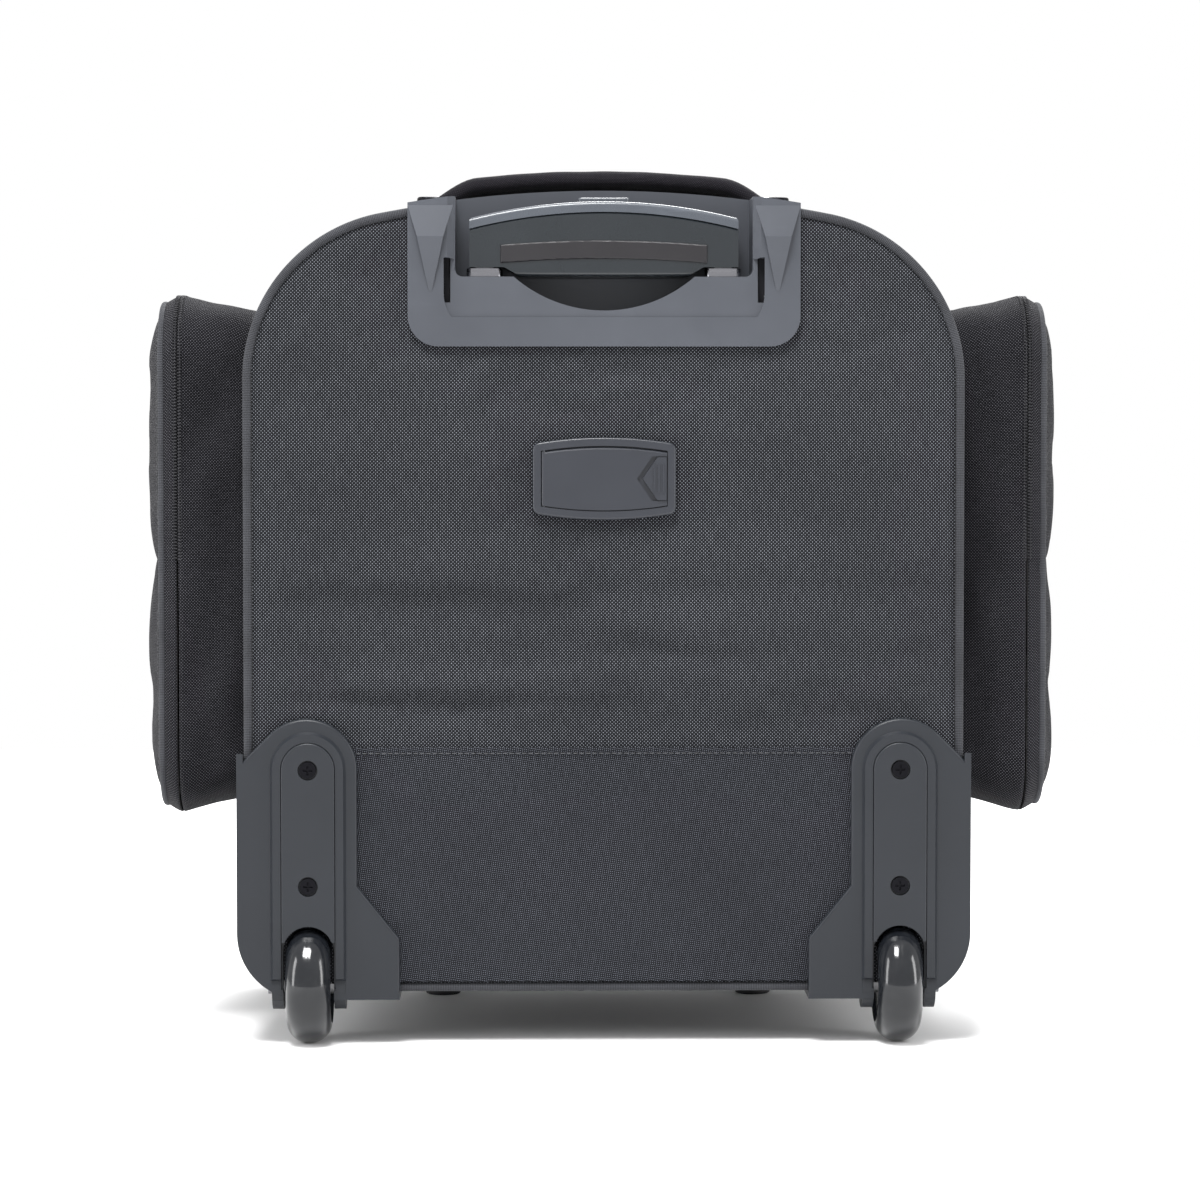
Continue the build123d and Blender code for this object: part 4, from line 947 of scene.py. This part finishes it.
def make_front_pocket():
    base = case_ring(**POCKET_BASE)
    rim = case_ring(**POCKET_RIM)
    rim_depth = LID_DEPTH + stand(RIM_STAND, rim[:, 1])
    rim_line = stood(rim, depth_y(rim_depth))
    rows = []
    for share in np.linspace(0, 1, 12):
        flat = base + (rim - base) * share ** 1.35
        depth = LID_DEPTH + (rim_depth - LID_DEPTH) * (0.12 * math.sin(math.pi * share) + share)
        row = stood(flat, depth_y(depth))
        slack = 0.9 * MM * math.sin(math.pi * share) * bumps(row, 34 * MM, 14)
        rows.append(row + ring_normals(flat) * slack[:, None])
    walls = grid("pocket_walls", np.array(rows), closed=True)
    thicken(walls, 0.8 * MM)
    placed(walls, "lid", "satin_panel", "front_pocket_gusset", look="satin_panel")

    flat = patch(case_ring(**POCKET_FACE), ring_corners(), 110, 130)
    away = np.linalg.norm(flat[:, :, None] - rim[None, None], axis=3)
    edge = away.min(2)
    pull = 1 / (away**2 + (4 * MM) ** 2) ** 2
    near_rim = (pull * rim_depth).sum(2) / pull.sum(2)
    share = smoothstep(0, 1, np.clip(edge / FACE_SPAN, 0, 1) ** 0.7)
    depth = near_rim * (1 - share) + (LID_DEPTH + stand(FACE_STAND, flat[..., 1])) * share
    points = stood(flat, depth_y(depth))
    points[..., 1] -= share * (0.7 * MM * bumps(points, 80 * MM, 16) + 0.3 * MM * bumps(points, 28 * MM, 17))
    face = grid("pocket_face", points, plane=(0, 2))
    thicken(face, 1.6 * MM)
    placed(face, "pocket_panel", "fine_fabric", "front_pocket_face", look="front_fabric")

    out = ring_normals(rim) * 0.7 - (0, 1, 0)
    cord = cord_on("pocket_cord", rim_line, out, 1.8 * MM, closed=True)
    placed(cord, "pocket_panel", "piping")
    behind = rim_line + ring_normals(rim) * 1.2 * MM + (0, 3.2 * MM, 0)
    line, normals = stretch_of(behind, ring_normals(rim), rim[:, 1] > 74 * MM)
    placed(teeth("pocket_teeth", line, normals, reach=POCKET_TOOTH), "lid", "coil")


# ---- side pockets
SIDE_Y = (LOWER_BOX[0].y + LOWER_BOX[1].y) / 2
SIDE_Z = (LOWER_BOX[0].z + FLAP_BOX[1].z) / 2
SIDE_HALF = ((LOWER_BOX[1].y - LOWER_BOX[0].y) / 2, (FLAP_BOX[1].z - LOWER_BOX[0].z) / 2)
SIDE_CORNER = 32 * MM
SIDE_SEAM = FLAP_BOX[0].z - 0.3 * MM
SIDE_FACE = FLAP_BOX[1].x
SIDE_BASE = 190 * MM
SIDE_ZIP = FLAP_BOX[0].x
SIDE_CORD = 237.5 * MM
PILLOW_GROWTH = 0.008
PILLOW_PRESSURE = 0.6
PILLOW_CAP = 2.5 * MM
SIDE_LEAN = 4.5 * MM  # how far the outer cord's ring is drawn in from the zipper's
SIDE_ROWS = 16
CORNER_POINTS = 14
RUN_POINTS = 40


def side_ring(inset=0.0):
    """Side pocket's outline as (y, z) rows from the middle of its bottom towards +Y, waisted at the
    seam on the edge towards the front, where the zipper ends."""
    half_y, half_z = SIDE_HALF[0] - inset, SIDE_HALF[1] - inset
    radius = SIDE_CORNER - inset * 0.6
    a, b = half_y - radius, half_z - radius
    half = np.vstack([
        run((0, -half_z), (a, -half_z), RUN_POINTS // 2),
        arc((a, -b), radius, -90, 0, CORNER_POINTS),
        run((half_y, -b), (half_y, b), RUN_POINTS * 2),
        arc((a, b), radius, 0, 90, CORNER_POINTS),
        run((a, half_z), (0, half_z), RUN_POINTS // 2),
        [(0, half_z)],
    ])
    ring = mirrored(half)
    seam = SIDE_SEAM - SIDE_Z
    near_seam = np.exp(-(((ring[:, 1] - seam) / (26 * MM)) ** 2))
    front_edge = smoothstep(0, 1, -ring[:, 0] / half_y)
    ring[:, 0] += 5.0 * MM * near_seam * front_edge
    return ring + (SIDE_Y, SIDE_Z)


def side_corners():
    """Indices of the pocket outline's four turning points."""
    low = (RUN_POINTS + CORNER_POINTS) // 2
    high = low + CORNER_POINTS + RUN_POINTS * 2
    total = 2 * (RUN_POINTS * 3 + CORNER_POINTS * 2)
    return low, high, total - high, total - low


def side_points(ring, x):
    return np.column_stack([np.full(len(ring), x), ring])


def side_normals(ring):
    return np.column_stack([np.zeros(len(ring)), outward(ring)])


def case_half_width(heights):
    """Half the case's width at each height, from its lower corner to half way along its arch."""
    ring = case_ring(inset=1.5 * MM)
    low, high = ring_corners()[0], sum(RING_COUNTS[:4]) + RING_COUNTS[4] // 2
    return np.interp(heights, ring[low:high, 1], ring[low:high, 0])


def cloth_rows(xs, insets, seed, slack, sign, on_case=False):
    """Rows of a slack gusset between rings at growing distance from the case; on_case starts it on the
    case's own side."""
    rows = []
    for k, (x, inset) in enumerate(zip(xs, insets)):
        ring = side_ring(inset)
        share = math.sin(math.pi * k / (len(xs) - 1))
        points = side_points(ring, x)
        if on_case:
            near = 1 - k / (len(xs) - 1)
            points[:, 0] += (case_half_width(ring[:, 1]) - xs[0]) * near**2
        upright = np.abs(side_normals(ring)[:, 1])
        buckle = bumps(points, 16 * MM, seed, (1.2, 1, 2.2)) * 0.8 + bumps(points, 42 * MM, seed + 1)
        sag = slack * share * (buckle * (0.45 + 0.55 * upright) - 0.5)
        seam = 0.9 * MM * np.exp(-(((ring[:, 1] - SIDE_SEAM) / (2.2 * MM)) ** 2)) * (0.3 + 0.7 * share)
        rows.append(points + side_normals(ring) * (sag - seam)[:, None])
    rows = np.array(rows)
    rows[..., 0] *= sign
    return rows


def folding(piece, look=None):
    """Gives a piece of a side pocket its look, where one is named, and bakes its placement into its mesh."""
    if look:
        piece.data.materials.append(LOOKS[look])
    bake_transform(piece)


def pillow(flat, ring, sign):
    """The stuffed face of a side pocket over (y, z) points: a soft crown inside its cord, with a waist
    where it folds. Also gives each point's distance from the cord."""
    edge = rim_distance(ring, flat)
    points = np.concatenate([np.zeros((*flat.shape[:-1], 1)), flat], -1)
    crown = np.sin(np.clip(edge / (26 * MM), 0, 1) * math.pi / 2) ** 0.8
    waist = 3.4 * MM * np.exp(-(((flat[..., 1] - SIDE_SEAM) / (18 * MM)) ** 2))
    soft = 1.4 * MM * bumps(points, 60 * MM, 30 + sign) + 0.5 * MM * bumps(points, 24 * MM, 33 + sign)
    points[..., 0] = sign * (SIDE_CORD + crown * (SIDE_FACE - SIDE_CORD + soft - waist - 0.6 * MM))
    return points, edge


def seam_stitches(walls, side):
    """Two rows of thread over the horizontal seam of a pocket's gusset, on its back and on its front."""
    points = np.array([v.co for v in walls.data.vertices]).reshape(SIDE_ROWS, -1, 3)
    rows = []
    for offset in (-2.4 * MM, 2.4 * MM):
        away = np.abs(points[0, :, 2] - SIDE_SEAM - offset)
        for facing in (1, -1):
            behind = (points[0, :, 1] - SIDE_Y) * facing < 0
            line = points[1:-1, int(np.argmin(np.where(behind, np.inf, away)))]
            rows.append(stitches("seam_row", line, repeated((0, facing, 0), len(line))))
    return joined(f"pocket_seam_stitches_{side}", rows)


def make_side_pocket(sign, side):
    ring = side_ring()
    out = side_normals(ring)
    inward = sign > 0

    xs = np.linspace(SIDE_BASE, SIDE_ZIP - 0.4 * MM, SIDE_ROWS)
    insets = 9 * MM * (1 - np.linspace(0, 1, SIDE_ROWS)) ** 1.5
    rows = cloth_rows(xs, insets, 20 + sign, 3.4 * MM, sign, on_case=True)
    walls = grid(f"pocket_gusset_{side}", rows, closed=True, flip=inward)
    thicken(walls, 0.8 * MM)
    placed(walls, "case", "fine_fabric", "side_pocket_walls", look="panel_fabric")

    xs = np.linspace(SIDE_ZIP + 0.4 * MM, SIDE_CORD, 6)
    lean = SIDE_LEAN * np.linspace(0, 1, 6) ** 1.4
    rows = cloth_rows(xs, lean, 26 + sign, 0.5 * MM, sign)
    band = grid(f"pocket_band_{side}", rows, closed=True, flip=inward)
    thicken(band, 0.8 * MM)
    folding(band, "panel_fabric")

    rim = side_ring(SIDE_LEAN)
    cord_line = side_points(rim, SIDE_CORD) * (sign, 1, 1)
    cord = cord_on(f"pocket_cord_{side}", cord_line, out + (sign * 0.8, 0, 0), 2.1 * MM, closed=True)
    folding(cord)

    points, edge = pillow(patch(side_ring(SIDE_LEAN + 1.4 * MM), side_corners(), 80, 130), rim, sign)
    held = 1 - smoothstep(2 * MM, 12 * MM, edge)
    points += cloth_offset(points, held, PILLOW_GROWTH, PILLOW_PRESSURE, PILLOW_CAP, flip=sign < 0)
    panel = grid(f"pocket_panel_{side}", points, flip=sign < 0, plane=(1, 2))
    thicken(panel, 1.6 * MM)
    folding(panel, "panel_fabric")
    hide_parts(f"side_pocket_flap_{side}", "side_pocket_lowers")

    line = side_points(ring, SIDE_ZIP) * (sign, 1, 1)
    upper, normals = stretch_of(line, out, ring[:, 1] > SIDE_SEAM + 2 * MM)
    for word, body, shift, way in (("in", "case", 0.0, -1), ("out", f"flap_{side}", 0.5, 1)):
        row = teeth(f"pocket_teeth_{word}_{side}", upper, normals, shift, reach=POCKET_TOOTH)
        row.location.x = way * sign * 1.2 * MM
        placed(row, body, "coil")

    sewn, _ = pillow(side_ring(SIDE_LEAN + 5.0 * MM), rim, sign)
    sewn = np.vstack([sewn, sewn[:1]])
    thread = stitches(f"pocket_stitches_{side}", sewn, repeated((sign, 0, 0), len(sewn)))
    folding(thread)
    placed(seam_stitches(walls, side), "case", "fine_fabric")


# ---- carry handle
HANDLE_Y = (PAD_BOX[0].y + PAD_BOX[1].y) / 2
HANDLE_TOP = PAD_BOX[1].z
TAB_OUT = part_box("handle_tabs")[1].x
TAB_IN = 79 * MM
PAD_HALF = 15.3 * MM  # from the pad's middle to the middle of its rolled edge
PAD_ROLL_R = 4.6 * MM
SPINE_POINTS = 81
HANDLE_PITCH = 3 * MM
UP = (0, 0, 1)


def arch_height(x):
    """Height of the case's top seam line over its middle plane."""
    return TOP_Z - ARCH_R + np.sqrt(ARCH_R**2 - np.square(x))


def make_skirt(sign, side):
    """Flared tab that sews one end of the handle to the case."""
    uu, vv = np.meshgrid(np.linspace(0, 1, 26), np.linspace(-1, 1, 41))
    x = TAB_IN + (TAB_OUT - TAB_IN) * uu
    flare = 19 * np.sin(np.clip(uu * 1.15, 0, 1) * math.pi / 2)
    wide = (20 + flare - 7 * smoothstep(0.8, 1.0, uu)) * MM
    rise = 8.5 * MM * (1 - smoothstep(0.1, 0.95, uu)) * (1 - np.abs(vv) ** 1.5) + 0.5 * MM
    points = np.stack([sign * x, HANDLE_Y + vv * wide, arch_height(x) + rise], -1)
    points[..., 2] += 0.4 * MM * bumps(points, 16 * MM, 42) * (1 - vv**2)
    sewn = np.vstack([points[2, 3:-3], points[3:-3, -3], points[-3, 3:-3][::-1]])
    seam = stitches(f"skirt_stitches_{side}", sewn, repeated(UP, len(sewn)), HANDLE_PITCH)
    placed(seam, "case", "webbing")
    skirt = grid(f"handle_skirt_{side}", points, flip=sign < 0)
    thicken(skirt, 1.2 * MM)
    placed(skirt, "case", "webbing", "handle_tabs", look="webbing")


def make_handle():
    """Padded grip, flat in the middle with a rolled and stitched edge along each side, and its tabs."""
    spine_x = np.linspace(-112, 112, SPINE_POINTS) * MM
    span = np.clip(1 - np.abs(spine_x) / (104 * MM), 0, 1)
    lift = (HANDLE_TOP - TOP_Z - 5.0 * MM) * smoothstep(0, 0.34, span)
    spine_z = arch_height(spine_x) + 1.0 * MM + lift
    line = np.column_stack([spine_x, np.full(SPINE_POINTS, HANDLE_Y), spine_z])
    right = arc((PAD_HALF, 0), PAD_ROLL_R, -90, 140, 14)
    left = arc((-PAD_HALF, 0), PAD_ROLL_R, 40, 270, 14)
    dip = np.array([(9.0, 2.3), (4.5, 2.0), (0, 1.9), (-4.5, 2.0), (-9.0, 2.3)]) * MM
    under = np.array([(-8.0, -3.6), (0, -3.4), (8.0, -3.6)]) * MM
    profile = np.vstack([right, dip, left, under])[None]
    _, out, across = frames_along(line, repeated(UP, SPINE_POINTS), False)
    taper = 0.45 + 0.55 * smoothstep(0, 0.2, span + 0.06)
    rows = line[:, None] + across[:, None] * profile[..., :1]
    rows = rows + out[:, None] * profile[..., 1:] * taper[:, None, None]
    rows += out[:, None] * (0.35 * MM * bumps(rows, 18 * MM, 40))[..., None]
    pad = grid("handle_pad", rows, closed=True)
    placed(pad, "case", "webbing", "carry_handle", look="webbing")
    for sign, side in SIDES:
        make_skirt(sign, side)
    for y_side, word in ((-1, "front"), (1, "back")):
        seam = line[8:-8] + (0, y_side * 9.6 * MM, 0)
        seam[:, 2] += 2.6 * MM * taper[8:-8]
        thread = stitches(f"handle_stitches_{word}", seam, repeated(UP, len(seam)), HANDLE_PITCH)
        placed(thread, "case", "webbing")


# ---- springs of the grip's button
SPRING_TURNS = 5
SPRING_WIRE_R = 0.45 * MM


def make_springs():
    """Two wire springs around the push rods."""
    low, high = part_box("button_springs")
    outer_r = (high.y - low.y) / 2
    middle_y = (high.y + low.y) / 2
    turn = np.linspace(0, 2 * math.pi * SPRING_TURNS, 28 * SPRING_TURNS)
    wind_r = outer_r - SPRING_WIRE_R
    for sign, side in SIDES:
        around = np.column_stack([np.cos(turn), np.sin(turn), np.zeros(len(turn))])
        line = around * wind_r + (sign * (high.x - outer_r), middle_y, 0)
        line[:, 2] = np.linspace(low.z + SPRING_WIRE_R, high.z - SPRING_WIRE_R, len(turn))
        coil = swept(f"button_spring_{side}", line, around, circle(SPRING_WIRE_R, 8))
        placed(coil, "trolley_grip", "steel", "button_springs", look="steel")
        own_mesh(coil)


# ---- all pieces
dress_cad_nodes()
make_shell()
make_back_cover()
make_back_piping()
make_kick_cover()
make_main_zipper()
make_hinge()
make_lid()
make_front_pocket()
for sign, side in SIDES:
    make_side_pocket(sign, side)
make_handle()
make_springs()

# ---- stage, light and camera
FLOOR_HALF = 1.7
VIEW_FROM = Vector((0.04, 2.1, 0.33))
VIEW_AT = Vector((0.0, 0.0, 0.232))
LENS = 112
SENSOR_WIDTH = 36


def make_floor():
    points = np.array([[(-FLOOR_HALF, -FLOOR_HALF, 0), (FLOOR_HALF, -FLOOR_HALF, 0)],
                       [(-FLOOR_HALF, FLOOR_HALF, 0), (FLOOR_HALF, FLOOR_HALF, 0)]], float)
    floor = grid("floor", points)
    look = Look("floor")
    tone = look.span(look.noise(look.solid, 3.0), 0.3, 0.7)
    color = look.mix(tone, rgb(0.87, 0.87, 0.87), rgb(0.9, 0.9, 0.9))
    floor.data.materials.append(look.set(color=color, roughness=0.75, specular=0.2))


def make_light(name, place, at, width, height, power):
    light = bpy.data.lights.new(name, "AREA")
    light.shape = "RECTANGLE"
    light.size, light.size_y, light.energy = width, height, power
    lamp = bpy.data.objects.new(name, light)
    lamp.location = place
    lamp.rotation_euler = (Vector(at) - Vector(place)).to_track_quat("-Z", "Y").to_euler()
    bpy.context.scene.collection.objects.link(lamp)


def make_stage():
    make_floor()
    make_light("key", (0.35, 1.15, 2.5), (0, 0, 0.22), 0.9, 0.9, 105)
    make_light("rim_left", (2.0, 0.7, 0.7), (0, 0, 0.24), 0.5, 1.6, 22)
    make_light("rim_right", (-2.0, 0.7, 0.7), (0, 0, 0.24), 0.5, 1.6, 22)
    make_light("front", (-0.4, -1.6, 2.1), (0, 0, 0.22), 1.2, 1.0, 62)
    world = bpy.data.worlds.new("studio")
    world.use_nodes = True
    world.node_tree.nodes["Background"].inputs[0].default_value = (1, 1, 1, 1)
    world.node_tree.nodes["Background"].inputs[1].default_value = 1.0
    bpy.context.scene.world = world
    bpy.context.scene.view_settings.view_transform = "Standard"


def make_camera():
    lens = bpy.data.cameras.new("camera")
    lens.lens = LENS
    lens.sensor_width = SENSOR_WIDTH
    camera = bpy.data.objects.new("camera", lens)
    camera.location = VIEW_FROM
    camera.rotation_euler = (VIEW_AT - VIEW_FROM).to_track_quat("-Z", "Y").to_euler()
    bpy.context.scene.collection.objects.link(camera)
    bpy.context.scene.camera = camera


make_stage()
make_camera()
